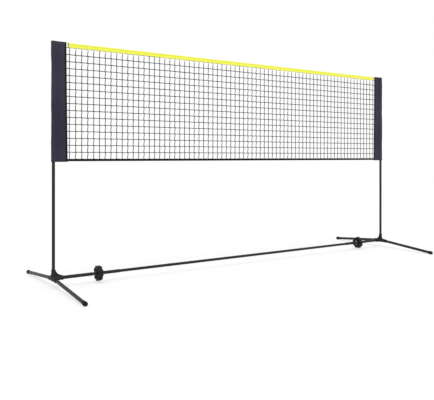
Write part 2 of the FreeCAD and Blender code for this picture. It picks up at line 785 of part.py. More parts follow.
SLEEVE_FOOT = "sizes.tall_height - sizes.sleeve_height"
BAND_BASE = "sizes.tall_height - sizes.band_drop - sizes.band_height"
HEM_BASE = SLEEVE_FOOT + " + sizes.hem_lift"
BAND_HALF = "sizes.net_span / 2 - sizes.sleeve_reach_top - sizes.band_gap"
HEAD_CORD_HEIGHT = "sizes.tall_height - sizes.band_drop - sizes.head_fold_dia / 2"
HEAD_CORD_PLAY = 0.4
FOOT_CORD_PLAY = 0.2
HEM_ROUND = "2.4"
LASHING_PLAY = 0.1


def make_top_band():
    """A tape folded over the head cord, with both its plies sewn to the net."""
    label = "top_band"
    body = new_body(label)
    sketch = new_sketch(body, label + "_fold", "YZ_Plane")
    leg = "sizes.band_leg / 2"
    fold = "(sizes.head_fold_dia / 2)"
    centre = "sizes.band_height - sizes.head_fold_dia / 2"
    touch_x = fold + " * cos(40 deg)"
    touch_y = centre + " - " + fold + " * sin(40 deg)"
    neck = centre + " - sizes.head_fold_dia"
    corners = (("-" + leg, "0"), (leg, "0"), (leg, neck), (touch_x, touch_y),
               ("0", "sizes.band_height"), ("-" + touch_x, touch_y), ("-" + leg, neck))
    draw_outline(sketch, corners, {3: fold, 4: fold})
    draw_circle(sketch, "cord", "sizes.head_cord_dia + %g" % HEAD_CORD_PLAY, y=centre)
    pad(body, sketch, "2 * (%s)" % BAND_HALF, midplane=True)
    body.Placement = place(0, 0, worked_out(BAND_BASE))
    return keep(body, label)


def make_straight_cord(label, diameter, height):
    """A cord from sleeve to sleeve at one height."""
    half = sleeve_edge_x(height - worked_out(diameter) / 2)
    piece = doc.addObject("Part::Cylinder", label)
    piece.setExpression("Radius", diameter + " / 2")
    piece.Height = 2 * half
    piece.Placement = place(-half, 0, height, Vector(1, 0, 0))
    return keep(piece, label)


def make_bottom_hem():
    label = "bottom_hem"
    body = new_body(label)
    sketch = new_sketch(body, label + "_section", "YZ_Plane")
    draw_rounded_box(sketch, "sizes.hem_thick", "sizes.hem_height", HEM_ROUND, "0")
    cord_room = "sizes.foot_cord_dia + %g" % FOOT_CORD_PLAY
    draw_circle(sketch, "cord", cord_room, y="sizes.hem_height / 2")
    pad(body, sketch, str(2 * sleeve_edge_x(worked_out(HEM_BASE))), midplane=True)
    body.Placement = place(0, 0, worked_out(HEM_BASE))
    return keep(body, label)


def make_net_mesh():
    """One flat face with its gaps, given the thickness of the twine."""
    low = worked_out(HEM_BASE) + size("hem_height")
    high = worked_out(BAND_BASE)
    half_strand = size("net_twine") / 2
    border = ((-sleeve_edge_x(low), low), (sleeve_edge_x(low), low),
              (sleeve_edge_x(high), high), (-sleeve_edge_x(high), high))
    wires = [flat_wire(border)]
    columns = int(size("net_columns"))
    rows = int(size("net_rows"))
    row_height = (high - low) / rows
    strands = [(number - columns / 2) * 2 * size("mesh_width") for number in range(columns + 1)]
    last_edge = strands[-1] + half_strand
    for row in range(rows):
        bottom = low + row * row_height + half_strand
        top = low + (row + 1) * row_height - half_strand
        for left_strand, right_strand in zip(strands, strands[1:]):
            left = left_strand + half_strand
            right = right_strand - half_strand
            wires.append(flat_wire(((left, bottom), (right, bottom), (right, top), (left, top))))
        foot_edge = sleeve_edge_x(bottom) - half_strand
        head_edge = sleeve_edge_x(top) - half_strand
        for side in (-1, 1):
            corners = ((last_edge, bottom), (foot_edge, bottom), (head_edge, top), (last_edge, top))
            wires.append(flat_wire([(side * x, z) for x, z in corners]))
    face = Part.makeFace(wires, "Part::FaceMakerBullseye")
    net = doc.addObject("Part::Feature", "net_mesh")
    net.Shape = face.extrude(Vector(0, size("net_thick"), 0))
    net.Placement = place(0, -size("net_thick") / 2, 0)
    return keep(net, "net_mesh")


def flat_wire(corners):
    """A closed wire in the plane of the net through (x, z) corners."""
    points = [Vector(x, 0, z) for x, z in corners]
    return Part.makePolygon(points + points[:1])


def make_band_lashing(name, side):
    """Turns of cord round the end of the band and the first strand of the net."""
    label = name + "_band_lashing"
    body = new_body(label)
    loop = new_sketch(body, label + "_loop", "YZ_Plane")
    width = "(sizes.head_fold_dia + %g)" % (2 * LASHING_PLAY)
    height = "(sizes.band_height + sizes.net_twine / 2 + %g)" % (2 * LASHING_PLAY)
    base = "-(sizes.net_twine / 2 + %g)" % LASHING_PLAY
    cord = "sizes.lashing_cord"
    around = " + 2 * " + cord
    draw_rounded_box(loop, width + around, height + around, "2 * " + cord, base + " - " + cord)
    draw_rounded_box(loop, width, height, cord, base, "inner")
    pad(body, loop, "sizes.lashing_width", midplane=True)
    x = side * (worked_out(BAND_HALF) - size("lashing_inset"))
    body.Placement = place(x, 0, worked_out(BAND_BASE))
    return keep(body, label)


# Assembly of the whole set

for side_name, side_sign in SIDES:
    make_hub(side_name, side_sign)
    for foot_name, foot_way in (("front", -1), ("back", 1)):
        make_foot(side_name, side_sign, foot_name, foot_way)
        make_foot_cap(side_name, side_sign, foot_name, foot_way)
    make_bar_end_tube(side_name, side_sign)
    make_tension_screw(side_name, side_sign)
    make_tension_nut(side_name, side_sign)
    make_thrust_washer(side_name, side_sign)
    make_bar_joint_tube(side_name, side_sign)
    make_bar_centre_tube(side_name, side_sign)
    make_lower_post(side_name, side_sign)
    make_upper_post(side_name, side_sign)
    make_post_cap(side_name, side_sign)
    make_snap_button(side_name, side_sign)
    make_button_clip(side_name, side_sign)
    make_sleeve(side_name, side_sign)
    make_band_lashing(side_name, side_sign)
make_bar_spigot()
make_top_band()
make_straight_cord("head_cord", "sizes.head_cord_dia", worked_out(HEAD_CORD_HEIGHT))
make_net_mesh()
make_bottom_hem()
make_straight_cord("foot_cord", "sizes.foot_cord_dia",
                   worked_out(HEM_BASE) + size("hem_height") / 2)
doc.recompute()

for item in doc.Objects:
    if "Invalid" in item.State or "Error" in item.State:
        raise RuntimeError(item.Name + " failed: " + ", ".join(item.State))
for piece in sub_parts:
    if piece.Shape.isNull() or not piece.Shape.isValid():
        raise RuntimeError(piece.Label + " has no valid shape")

os.makedirs("parts", exist_ok=True)
for piece in sub_parts:
    piece.Shape.exportStep("parts/%s.step" % piece.Label)
    print(piece.Label, len(piece.Shape.Solids), round(piece.Shape.Volume / 1000, 2), "cm3")
print(len(sub_parts), "sub-parts")
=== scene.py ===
# %% [markdown]
# # A volleyball net on poles
# The net stands on two telescopic posts with sloping feet and a base bar. The
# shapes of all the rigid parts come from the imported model, which is loaded here
# as a fixed frame. This file gives those parts their finishes and makes what is
# soft or bends: twine, tape, cord, the two fabric sleeves and two spring clips.
# It also cuts the threads of the two tension screws.
# Lengths are metres, X runs along the net, Y to the back and Z up.

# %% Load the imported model
import math

import bmesh
import bpy
import numpy as np
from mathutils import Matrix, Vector, noise


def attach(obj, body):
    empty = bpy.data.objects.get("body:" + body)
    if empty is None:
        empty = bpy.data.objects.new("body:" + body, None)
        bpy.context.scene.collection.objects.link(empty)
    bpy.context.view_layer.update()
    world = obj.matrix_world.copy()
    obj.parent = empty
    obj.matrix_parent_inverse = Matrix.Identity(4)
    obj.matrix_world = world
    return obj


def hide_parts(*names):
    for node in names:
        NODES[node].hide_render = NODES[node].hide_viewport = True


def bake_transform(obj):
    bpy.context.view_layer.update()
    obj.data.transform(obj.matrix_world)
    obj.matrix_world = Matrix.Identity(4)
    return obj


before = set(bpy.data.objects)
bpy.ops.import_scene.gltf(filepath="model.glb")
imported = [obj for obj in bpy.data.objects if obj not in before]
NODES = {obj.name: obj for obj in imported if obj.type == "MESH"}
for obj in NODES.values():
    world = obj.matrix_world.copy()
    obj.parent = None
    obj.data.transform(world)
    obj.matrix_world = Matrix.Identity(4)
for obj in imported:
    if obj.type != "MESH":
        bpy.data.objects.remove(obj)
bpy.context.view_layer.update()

SIDES = (("left", -1), ("right", 1))

# %% [markdown]
# ## Main sizes
# The fabric has to meet the rigid parts, so the few sizes that both share are
# named once. The posts are 3.05 m apart. A sleeve is a little wider at its foot
# than at its top, so the place of its inner edge depends on the height.

# %% Sizes that the fabric shares with the frame
POST_X = 1.525
BAR_Z = 0.060
SLEEVE_FOOT, SLEEVE_TOP = 0.790, 1.550
REACH_FOOT, REACH_TOP = 0.089, 0.081
NET_FOOT = 0.807
BAND_LOW = 1.517
BAND_HALF = 1.431


def reach(z):
    """Distance from the post axis to the inner edge of a sleeve at a height."""
    share = (z - SLEEVE_FOOT) / (SLEEVE_TOP - SLEEVE_FOOT)
    return REACH_FOOT + (REACH_TOP - REACH_FOOT) * share


def edge_x(z):
    """Distance from the middle of the net to the inner edge of a sleeve."""
    return POST_X - reach(z)


def smooth_step(low, high, x):
    """Rises smoothly from 0 at low to 1 at high, or falls where high is the lower one."""
    t = min(max((x - low) / (high - low), 0.0), 1.0)
    return t * t * (3 - 2 * t)


print("net between the sleeves:", round(2 * edge_x(NET_FOOT), 3), "m at its foot")

# %% [markdown]
# ## Camera
# The photograph is taken from the left, a little above the net's foot, with the
# far end of the net turned away by about 34 degrees. A level camera keeps the
# posts upright in the picture, and a vertical shift puts the horizon where it
# is, above the middle of the frame. The place follows from where the two hubs
# and the two post tops are in the picture.

# %% Camera
IMAGE_WIDTH, IMAGE_HEIGHT = 434, 400
NET_TURN = math.radians(33.85)
FOCAL_PIXELS = 581.0
HORIZON_ROW = 156.7
CENTRE_COLUMN = 214.9
SENSOR = 36.0
CAMERA_PLACE = (-2.7123, -3.5866, 0.823)


def into_scene(name, data):
    """A new object that holds the data, linked into the scene."""
    made = bpy.data.objects.new(name, data)
    bpy.context.scene.collection.objects.link(made)
    return made


camera_data = bpy.data.cameras.new("camera")
camera_data.sensor_width = SENSOR
camera_data.lens = FOCAL_PIXELS / IMAGE_WIDTH * SENSOR
camera_data.shift_y = (HORIZON_ROW - IMAGE_HEIGHT / 2) / IMAGE_WIDTH
camera_data.shift_x = (IMAGE_WIDTH / 2 - CENTRE_COLUMN) / IMAGE_WIDTH
camera = into_scene("camera", camera_data)
camera.location = CAMERA_PLACE
camera.rotation_euler = (math.radians(90), 0, -NET_TURN)
bpy.context.scene.camera = camera
print("lens", round(camera_data.lens, 1), "mm, shift", round(camera_data.shift_y, 4))

# %% [markdown]
# ## Node helper
# Materials and Geometry Nodes trees are both networks of nodes. A small class
# keeps them short: it makes a node, sets what is given as a number and links
# what is given as another node's socket.

# %% A short way to write node trees
class Graph:
    """Adds nodes to a tree and links them."""

    def __init__(self, tree):
        self.tree = tree

    def add(self, kind, inputs=None, **settings):
        node = self.tree.nodes.new(kind)
        for name, value in settings.items():
            setattr(node, name, value)
        for key, value in (inputs or {}).items():
            if isinstance(value, bpy.types.NodeSocket):
                self.tree.links.new(value, node.inputs[key])
            else:
                node.inputs[key].default_value = value
        return node

    def out(self, kind, inputs=None, **settings):
        """The first output of a new node."""
        return self.add(kind, inputs, **settings).outputs[0]

    def math(self, operation, *values):
        inputs = dict(enumerate(values))
        return self.out("ShaderNodeMath", inputs, operation=operation)

    def vector(self, operation, *values):
        inputs = dict(enumerate(values))
        return self.out("ShaderNodeVectorMath", inputs, operation=operation)

    def remap(self, value, low, high, from_low=0.0, from_high=1.0):
        inputs = {"Value": value, "From Min": from_low, "From Max": from_high,
                  "To Min": low, "To Max": high}
        return self.add("ShaderNodeMapRange", inputs).outputs["Result"]


def new_material(name, colour, roughness, specular=0.5, metallic=0.0):
    """A material with its constants on the shader, its graph and its shader."""
    made = bpy.data.materials.new(name)
    made.use_nodes = True
    shader = made.node_tree.nodes["Principled BSDF"]
    shader.inputs["Base Color"].default_value = (*colour, 1)
    shader.inputs["Roughness"].default_value = roughness
    shader.inputs["Specular IOR Level"].default_value = specular
    shader.inputs["Metallic"].default_value = metallic
    return made, Graph(made.node_tree), shader


def object_noise(graph, scale, detail=2.0, stretch=(1, 1, 1)):
    """Noise on the piece's own coordinates, from 0 to 1."""
    where = graph.add("ShaderNodeTexCoord").outputs["Object"]
    stretched = graph.vector("MULTIPLY", where, stretch)
    inputs = {"Vector": stretched, "Scale": scale, "Detail": detail}
    return graph.add("ShaderNodeTexNoise", inputs).outputs["Fac"]


def tint(graph, shader, dark, light, factor):
    """Varies the base colour between two colours by a factor."""
    colour_a, colour_b, colour_out = 6, 7, 2
    inputs = {"Factor": factor, colour_a: (*dark, 1), colour_b: (*light, 1)}
    mixed = graph.add("ShaderNodeMix", inputs, data_type="RGBA").outputs[colour_out]
    graph.tree.links.new(mixed, shader.inputs["Base Color"])


def bump(graph, shader, height, distance, strength=1.0):
    """Raises the surface by a height; distance is how far, in metres."""
    inputs = {"Height": height, "Distance": distance, "Strength": strength}
    normal = graph.add("ShaderNodeBump", inputs).outputs["Normal"]
    graph.tree.links.new(normal, shader.inputs["Normal"])


print("material helpers: new_material, object_noise, tint, bump")

# %% [markdown]
# ## Paint, plastic, rubber and steel
# The tubes are powder coated: the paint melts in an oven and sets with a faint
# orange-peel surface and a satin gloss. A photograph of such paint could be
# wrapped round each tube, but it would show seams and blur when seen close by.
# Noise on the piece's own coordinates has neither fault: a fine bump, and a
# roughness that wanders a little. Tubes are pushed in and out of each other and
# of their bag, so they carry faint scratches along their length, which is noise
# squeezed along that axis.

# %% Powder coated tubes
CLOUDS, SCUFFS, ORANGE_PEEL = 9.0, 260.0, 900.0


def powder_coat(name, dark, light, roughness, scratch_stretch):
    """Satin paint; the noise scales are features to the metre."""
    made, graph, shader = new_material(name, light, roughness, specular=0.3)
    tint(graph, shader, dark, light, object_noise(graph, CLOUDS, 4.0))
    scuffs = object_noise(graph, SCUFFS, 3.0, scratch_stretch)
    rough = graph.remap(scuffs, roughness + 0.1, roughness - 0.06, 0.35, 0.7)
    graph.tree.links.new(rough, shader.inputs["Roughness"])
    bump(graph, shader, object_noise(graph, ORANGE_PEEL, 2.0), 0.00006)
    return made


ALONG_X, ALONG_Y, ALONG_Z = (0.03, 1, 1), (1, 0.03, 1), (1, 1, 0.03)
BLACK_COAT = ((0.004, 0.004, 0.0045), (0.010, 0.010, 0.011), 0.42)
bar_paint = powder_coat("bar_paint", *BLACK_COAT, ALONG_X)
foot_paint = powder_coat("foot_paint", *BLACK_COAT, ALONG_Y)
post_paint = powder_coat("post_paint", (0.006, 0.006, 0.0065), (0.013, 0.013, 0.014), 0.40, ALONG_Z)
slide_paint = powder_coat("slide_paint", (0.03, 0.03, 0.032), (0.05, 0.05, 0.053), 0.38, ALONG_Z)
print("paints:", bar_paint.name, foot_paint.name, post_paint.name, slide_paint.name)

# %% [markdown]
# Hubs, hand nuts and post caps are moulded plastic with a fine grain from the
# mould, and the foot caps are rubber, dull and dusty where they touch the floor.
# The grain could be cut into the mesh, but at a tenth of a millimetre it only
# changes the light, so a bump in the material is enough. The dust needs no
# painting by hand: it follows the height above the floor.

# %% Moulded plastic and rubber
FLOW_MARKS, HAND_WEAR = 22.0, 60.0


def moulded(name, dark, light, roughness, grain):
    """Plastic with flow marks in its colour, wear in its gloss and grain in its surface."""
    made, graph, shader = new_material(name, light, roughness, specular=0.25)
    tint(graph, shader, dark, light, object_noise(graph, FLOW_MARKS, 3.0))
    wear = object_noise(graph, HAND_WEAR, 3.0)
    rough = graph.remap(wear, roughness - 0.05, roughness + 0.08)
    graph.tree.links.new(rough, shader.inputs["Roughness"])
    bump(graph, shader, object_noise(graph, grain, 2.0), 0.00012)
    return made


hub_plastic = moulded("hub_plastic", (0.007, 0.007, 0.009), (0.015, 0.015, 0.018), 0.55, 1100.0)
nut_plastic = moulded("nut_plastic", (0.004, 0.004, 0.0045), (0.009, 0.009, 0.010), 0.5, 1400.0)
screw_plastic = moulded("screw_plastic", (0.010,) * 3, (0.018,) * 3, 0.42, 1800.0)

cap_rubber, rubber_graph, rubber_shader = new_material("cap_rubber", (0.008,) * 3, 0.8, 0.2)
rubber_place = rubber_graph.add("ShaderNodeTexCoord").outputs["Object"]
rubber_height = rubber_graph.add("ShaderNodeSeparateXYZ", {0: rubber_place}).outputs["Z"]
DUST_TOP = 0.011
near_floor = rubber_graph.remap(rubber_height, 1.0, 0.0, 0.001, DUST_TOP)
dust = rubber_graph.math("MULTIPLY", near_floor, object_noise(rubber_graph, 130.0, 4.0))
tint(rubber_graph, rubber_shader, (0.006, 0.006, 0.006), (0.10, 0.095, 0.085), dust)
bump(rubber_graph, rubber_shader, object_noise(rubber_graph, 700.0, 3.0), 0.00015)
print("mouldings:", hub_plastic.name, nut_plastic.name, screw_plastic.name, cap_rubber.name)

# %% [markdown]
# The washers, the snap buttons, their springs and the peg inside the bar are
# zinc plated steel. Zinc is a metal, so its colour is the colour of its
# reflection. A plain mirror would look new and false, and the plating's clouds
# and faint marks break it up; both are noise again.

# %% Zinc plated steel
zinc, zinc_graph, zinc_shader = new_material("zinc", (0.58, 0.59, 0.6), 0.34, metallic=1.0)
zinc_clouds = object_noise(zinc_graph, 70.0, 4.0)
tint(zinc_graph, zinc_shader, (0.46, 0.47, 0.48), (0.64, 0.65, 0.66), zinc_clouds)
bump(zinc_graph, zinc_shader, object_noise(zinc_graph, 900.0, 2.0, (1, 1, 4)), 0.00004)
print("plating:", zinc.name)

# %% [markdown]
# The rigid parts were built as solids, so they keep their shape and
# place, and only their material is given here. One table says which finish goes
# on which part, for the left side and the right side alike.

# %% Dress the rigid parts
FINISHES = {
    bar_paint: ("bar_end_tube", "bar_joint_tube", "bar_centre_tube"),
    foot_paint: ("front_foot", "back_foot"),
    post_paint: ("lower_post",),
    slide_paint: ("upper_post",),
    hub_plastic: ("hub",),
    nut_plastic: ("tension_nut",),
    screw_plastic: ("post_cap",),
    cap_rubber: ("front_foot_cap", "back_foot_cap"),
    zinc: ("thrust_washer", "snap_button"),
}


def dress(node, finish):
    """Gives a part of the frame its one material."""
    mesh = NODES[node].data
    mesh.materials.clear()
    mesh.materials.append(finish)


for finish, names in FINISHES.items():
    for side, _ in SIDES:
        for name in names:
            dress(side + "_" + name, finish)
dress("bar_centre_spigot", zinc)
print("finishes on rigid parts:", len(FINISHES))

# %% [markdown]
# ## Helpers for meshes
# Tape, cloth and thread could be pulled into shape by hand or by a cloth
# simulation. Here they are taut, so most soft pieces are one grid of points that
# follows a rule: so many points round the piece and so many along it. That gives
# the same shape each time. The helper turns such a grid into a mesh, and stores
# how far each point is along and across the cloth, in metres, as a UV map for
# the weave.

# %% Grids, tubes and finishing
def piece_from(name, mesh, material, body, nodes=()):
    """Puts a finished mesh into the scene and says what it is."""
    mesh.name = name
    if not mesh.materials:
        mesh.materials.append(material)
    made = into_scene(name, mesh)
    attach(made, body)
    if nodes:
        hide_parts(*nodes)
    return made


def grid_mesh(name, points, across, along, closed=False):
    """A mesh from points[row][column]; across and along are UV distances."""
    rows, columns = len(points), len(points[0])
    flat = [tuple(p) for row in points for p in row]
    faces = []
    uvs = []
    last = columns if closed else columns - 1
    for r in range(rows - 1):
        for c in range(last):
            d = (c + 1) % columns
            faces.append((r * columns + c, r * columns + d, (r + 1) * columns + d,
                          (r + 1) * columns + c))
            uvs += [(across[c], along[r]), (across[c + 1], along[r]),
                    (across[c + 1], along[r + 1]), (across[c], along[r + 1])]
    mesh = bpy.data.meshes.new(name)
    mesh.from_pydata(flat, [], faces)
    layer = mesh.uv_layers.new(name="cloth")
    layer.data.foreach_set("uv", np.array(uvs, np.float32).ravel())
    mesh.polygons.foreach_set("use_smooth", [True] * len(faces))
    return mesh


def distances(points):
    """How far each point is along a line of points."""
    total = [0.0]
    for a, b in zip(points, points[1:]):
        total.append(total[-1] + (Vector(b) - Vector(a)).length)
    return total


def plain_mesh(holder):
    """The mesh that an object comes to, with its modifiers worked out; the object goes."""
    graph = bpy.context.evaluated_depsgraph_get()
    result = bpy.data.meshes.new_from_object(holder.evaluated_get(graph))
    holder.modifiers.clear()
    bpy.data.objects.remove(holder)
    return result


def thicken(mesh, thickness):
    """Gives a sheet its real thickness, on the inner side."""
    holder = into_scene("holder", mesh)
    wall = holder.modifiers.new("wall", "SOLIDIFY")
    wall.thickness = thickness
    wall.offset = -1
    wall.use_even_offset = True
    wall.thickness_clamp = 1.0
    return plain_mesh(holder)


def outward(mesh, fill=False):
    """Turns all faces of a mesh outwards, after closing its open ends if asked."""
    shell = bmesh.new()
    shell.from_mesh(mesh)
    if fill:
        bmesh.ops.holes_fill(shell, edges=[e for e in shell.edges if e.is_boundary])
    bmesh.ops.recalc_face_normals(shell, faces=shell.faces)
    shell.to_mesh(mesh)
    shell.free()


print("mesh helpers: piece_from, grid_mesh, distances, plain_mesh, thicken, outward")

# %% [markdown]
# ## Geometry Nodes helper
# Twine, knots and stitches repeat by the hundred. Copies could be placed one by
# one, but a Geometry Nodes tree makes all of them from a few named sizes, and a
# changed size changes them all. The tree is built here, runs once on a start
# mesh, and its result is kept as a plain mesh.

# %% Build and run a Geometry Nodes tree
SOCKETS = {float: "NodeSocketFloat", int: "NodeSocketInt"}


def new_tree(name, **defaults):
    """A tree with named number inputs, a material input and its graph."""
    tree = bpy.data.node_groups.new(name, "GeometryNodeTree")
    tree.interface.new_socket("Geometry", in_out="INPUT", socket_type="NodeSocketGeometry")
    for title, value in defaults.items():
        label = title.replace("_", " ").capitalize()
        kind = SOCKETS[type(value)]
        socket = tree.interface.new_socket(label, in_out="INPUT", socket_type=kind)
        socket.default_value = value
    tree.interface.new_socket("Material", in_out="INPUT", socket_type="NodeSocketMaterial")
    tree.interface.new_socket("Geometry", in_out="OUTPUT", socket_type="NodeSocketGeometry")
    graph = Graph(tree)
    return graph, graph.add("NodeGroupInput").outputs


def end_tree(graph, inputs, geometry):
    """Ends a tree with Realize Instances, smooth shading and Set Material."""
    real = graph.out("GeometryNodeRealizeInstances", {"Geometry": geometry})
    soft = graph.out("GeometryNodeSetShadeSmooth", {"Geometry": real})
    painted = graph.add("GeometryNodeSetMaterial", {
        "Geometry": soft, "Material": inputs["Material"]})
    graph.add("NodeGroupOutput", {0: painted.outputs[0]})
    return graph.tree


def grow(tree, material, start=None, **values):
    """Runs a tree, on a start mesh if it needs one, and keeps the plain mesh."""
    holder = into_scene("holder", start or bpy.data.meshes.new("start"))
    modifier = holder.modifiers.new("grow", "NODES")
    modifier.node_group = tree
    wanted = {title.replace("_", " ").capitalize(): value for title, value in values.items()}
    wanted["Material"] = material
    for item in tree.interface.items_tree:
        if item.in_out == "INPUT" and item.name in wanted:
            modifier[item.identifier] = wanted[item.name]
    return plain_mesh(holder)


print("tree helpers: new_tree, end_tree, grow")

# %% [markdown]
# ## Cloth and twine materials
# Woven cloth is two sets of threads that pass over and under each other. Threads
# of 0.7 mm are too many to model, so they are a bump: two sine waves at right
# angles, multiplied, give hills and hollows by turns. The waves follow the
# cloth's own UV in metres, so the weave keeps its scale and turns round folds
# with the cloth.

# %% Woven cloth
def woven(name, dark, light, roughness, thread, blotch, sheen=0.05):
    """Cloth of threads this wide, with blotches so many to the metre: random tone, and on the
    sleeves painted sheen.
    """
    made, graph, shader = new_material(name, light, roughness, specular=0.15)
    shader.inputs["Sheen Weight"].default_value = sheen
    shader.inputs["Sheen Roughness"].default_value = 0.5
    shader.inputs["Sheen Tint"].default_value = (*light, 1)
    uv = graph.add("ShaderNodeUVMap", uv_map="cloth").outputs["UV"]
    split = graph.add("ShaderNodeSeparateXYZ", {0: uv}).outputs
    turns = math.pi / thread
    warp = graph.math("SINE", graph.math("MULTIPLY", split["X"], turns))
    weft = graph.math("SINE", graph.math("MULTIPLY", split["Y"], turns))
    crossing = graph.math("MULTIPLY", warp, weft)
    # The colour is lighter on each thread's crown and darker in the gaps between threads: painted
    # shade of the weave, beside the bump.
    threads = graph.math("ABSOLUTE", crossing)
    # Blotches in the colour: random tone on the band and hem. On the sleeves, a few to the metre,
    # they are painted sheen: soft lighter and darker patches that stand in for light on the cloth.
    tone_and_painted_sheen = object_noise(graph, blotch, 4.0)
    fibre = object_noise(graph, 1500.0, 2.0)
    shade = graph.math("MULTIPLY_ADD", threads, 0.22, graph.math("MULTIPLY", tone_and_painted_sheen, 0.9))
    shade = graph.math("MULTIPLY_ADD", fibre, 0.2, shade)
    tint(graph, shader, dark, light, graph.remap(shade, 0.0, 1.0, 0.2, 0.95))
    bump(graph, shader, graph.math("MULTIPLY_ADD", fibre, 0.3, crossing), 0.00012)
    return made


# The sleeve's blotches, 3 to the metre, are painted sheen: soft lighter and darker patches for the
# light on the cloth.
sleeve_cloth = woven("sleeve_cloth", (0.016, 0.0155, 0.027), (0.048, 0.046, 0.072), 0.78,
                     0.0007, 3.0)
band_cloth = woven("band_cloth", (0.80, 0.82, 0.06), (0.93, 0.95, 0.13), 0.7, 0.0006, 30.0)
hem_cloth = woven("hem_cloth", (0.001, 0.001, 0.0015), (0.006, 0.006, 0.007), 0.85,
                  0.0006, 20.0, 0.0)
print("cloths:", sleeve_cloth.name, band_cloth.name, hem_cloth.name)

# %% [markdown]
# Twine and rope are twisted, and the twist shows as slanting grooves. Each yarn
# could be a tube of its own, which the thick head cord below can afford and the
# net can't. The tubes of twine carry two numbers instead, how far along the
# strand a point is and how far round it, and a sine of their sum is the groove.

# %% Twisted twine
def twisted(name, dark, light, roughness, lay):
    """Twine whose yarns go once round in the length lay."""
    made, graph, shader = new_material(name, light, roughness, specular=0.2)
    along = graph.add("ShaderNodeAttribute", attribute_name="along").outputs["Fac"]
    round_it = graph.add("ShaderNodeAttribute", attribute_name="round").outputs["Fac"]
    phase = graph.math("MULTIPLY_ADD", round_it, 3.0, graph.math("DIVIDE", along, lay))
    groove = graph.math("SINE", graph.math("MULTIPLY", phase, 2 * math.pi))
    height = graph.remap(groove, 0.0, 1.0, -1.0, 1.0)
    # The grooves are darker in colour too: painted shade in the twist, with random tone from the
    # noise.
    shade = graph.math("MULTIPLY_ADD", object_noise(graph, 45.0, 4.0), 0.6, height)
    tint(graph, shader, dark, light, graph.remap(shade, 0.0, 1.0, 0.1, 1.4))
    bump(graph, shader, height, 0.00025)
    return made


net_twine = twisted("net_twine", (0.004, 0.004, 0.005), (0.016, 0.015, 0.018), 0.85, 0.007)
head_rope = twisted("head_rope", (0.50, 0.50, 0.22), (0.80, 0.80, 0.42), 0.75, 0.006)
foot_rope = twisted("foot_rope", (0.008, 0.008, 0.008), (0.03, 0.03, 0.03), 0.8, 0.004)
lashing_cord = twisted("lashing_cord", (0.10, 0.10, 0.09), (0.34, 0.34, 0.28), 0.75, 0.003)
dark_thread = twisted("dark_thread", (0.004, 0.004, 0.005), (0.015, 0.015, 0.018), 0.7, 0.001)
band_thread = twisted("band_thread", (0.62, 0.62, 0.05), (0.80, 0.80, 0.12), 0.7, 0.001)
print("twines:", net_twine.name, head_rope.name, foot_rope.name, lashing_cord.name)

# %% [markdown]
# ## The net
# A sports net is knotted from one kind of twine: 71 strands run down and 17 run
# across, and each crossing between band and hem is a knot. Made by hand, that is
# more than a thousand knots, so Geometry Nodes makes it from a few numbers. Two
# lines of points each carry one strand, and a circle swept along them gives the
# twine. Each strand leans a little from knot to knot and steps back at the knot,
# as knotted twine does. A small wander keeps them from being ruled lines; it
# depends only on the place, so strands and knots move together. The outermost
# meshes have no vertical strand at their far side, because there the cross
# strands are sewn into the sleeve.

# %% Net: strands
COLUMNS, ROWS = 71, 17
COLUMN_PITCH = 0.0406
ROW_PITCH = (BAND_LOW - NET_FOOT) / (ROWS - 1)
TWINE = 0.005
WANDER = 0.0011
LEAN_DOWN, LEAN_ACROSS = 0.0052, 0.0024
POINTS_A_MESH, STEP_BACK = 4, 1.05
SEWN_IN = 0.002
TWINE_SIDES = 6
NET_SIZES = dict(columns=COLUMNS, column_pitch=COLUMN_PITCH, row_pitch=ROW_PITCH, foot=NET_FOOT,
                 twine=TWINE, wander=WANDER)


def wander(graph, inputs, geometry):
    """Moves points a little, by two noises that depend on the place alone."""
    place = graph.out("GeometryNodeInputPosition")
    coarse = graph.add("ShaderNodeTexNoise", {"Vector": place, "Scale": 5.0, "Detail": 1.0})
    fine = graph.add("ShaderNodeTexNoise", {"Vector": place, "Scale": 38.0, "Detail": 0.0})
    both = graph.vector("ADD", coarse.outputs["Color"], fine.outputs["Color"])
    centred = graph.vector("SUBTRACT", both, (1.0, 1.0, 1.0))
    size = graph.math("MULTIPLY", inputs["Wander"], 2.0)
    moved = graph.out("ShaderNodeVectorMath", {0: centred, "Scale": size},
                      operation="SCALE")
    return graph.out("GeometryNodeSetPosition", {"Geometry": geometry, "Offset": moved})


def swept(graph, curve, radius, sides, scale=1.0):
    """Sweeps a circle along curves, and stores the two numbers of the twist."""
    parameter = graph.add("GeometryNodeSplineParameter").outputs
    marked = graph.out("GeometryNodeStoreNamedAttribute", {
        "Geometry": curve, "Name": "along", "Value": parameter["Length"]},
        data_type="FLOAT", domain="POINT")
    circle = graph.add("GeometryNodeCurvePrimitiveCircle", {
        "Resolution": sides, "Radius": radius})
    ring = graph.out("GeometryNodeStoreNamedAttribute", {
        "Geometry": circle.outputs[0], "Name": "round", "Value": parameter["Factor"]},
        data_type="FLOAT", domain="POINT")
    inputs = {"Curve": marked, "Profile Curve": ring, "Scale": scale, "Fill Caps": True}
    return graph.out("GeometryNodeCurveToMesh", inputs)


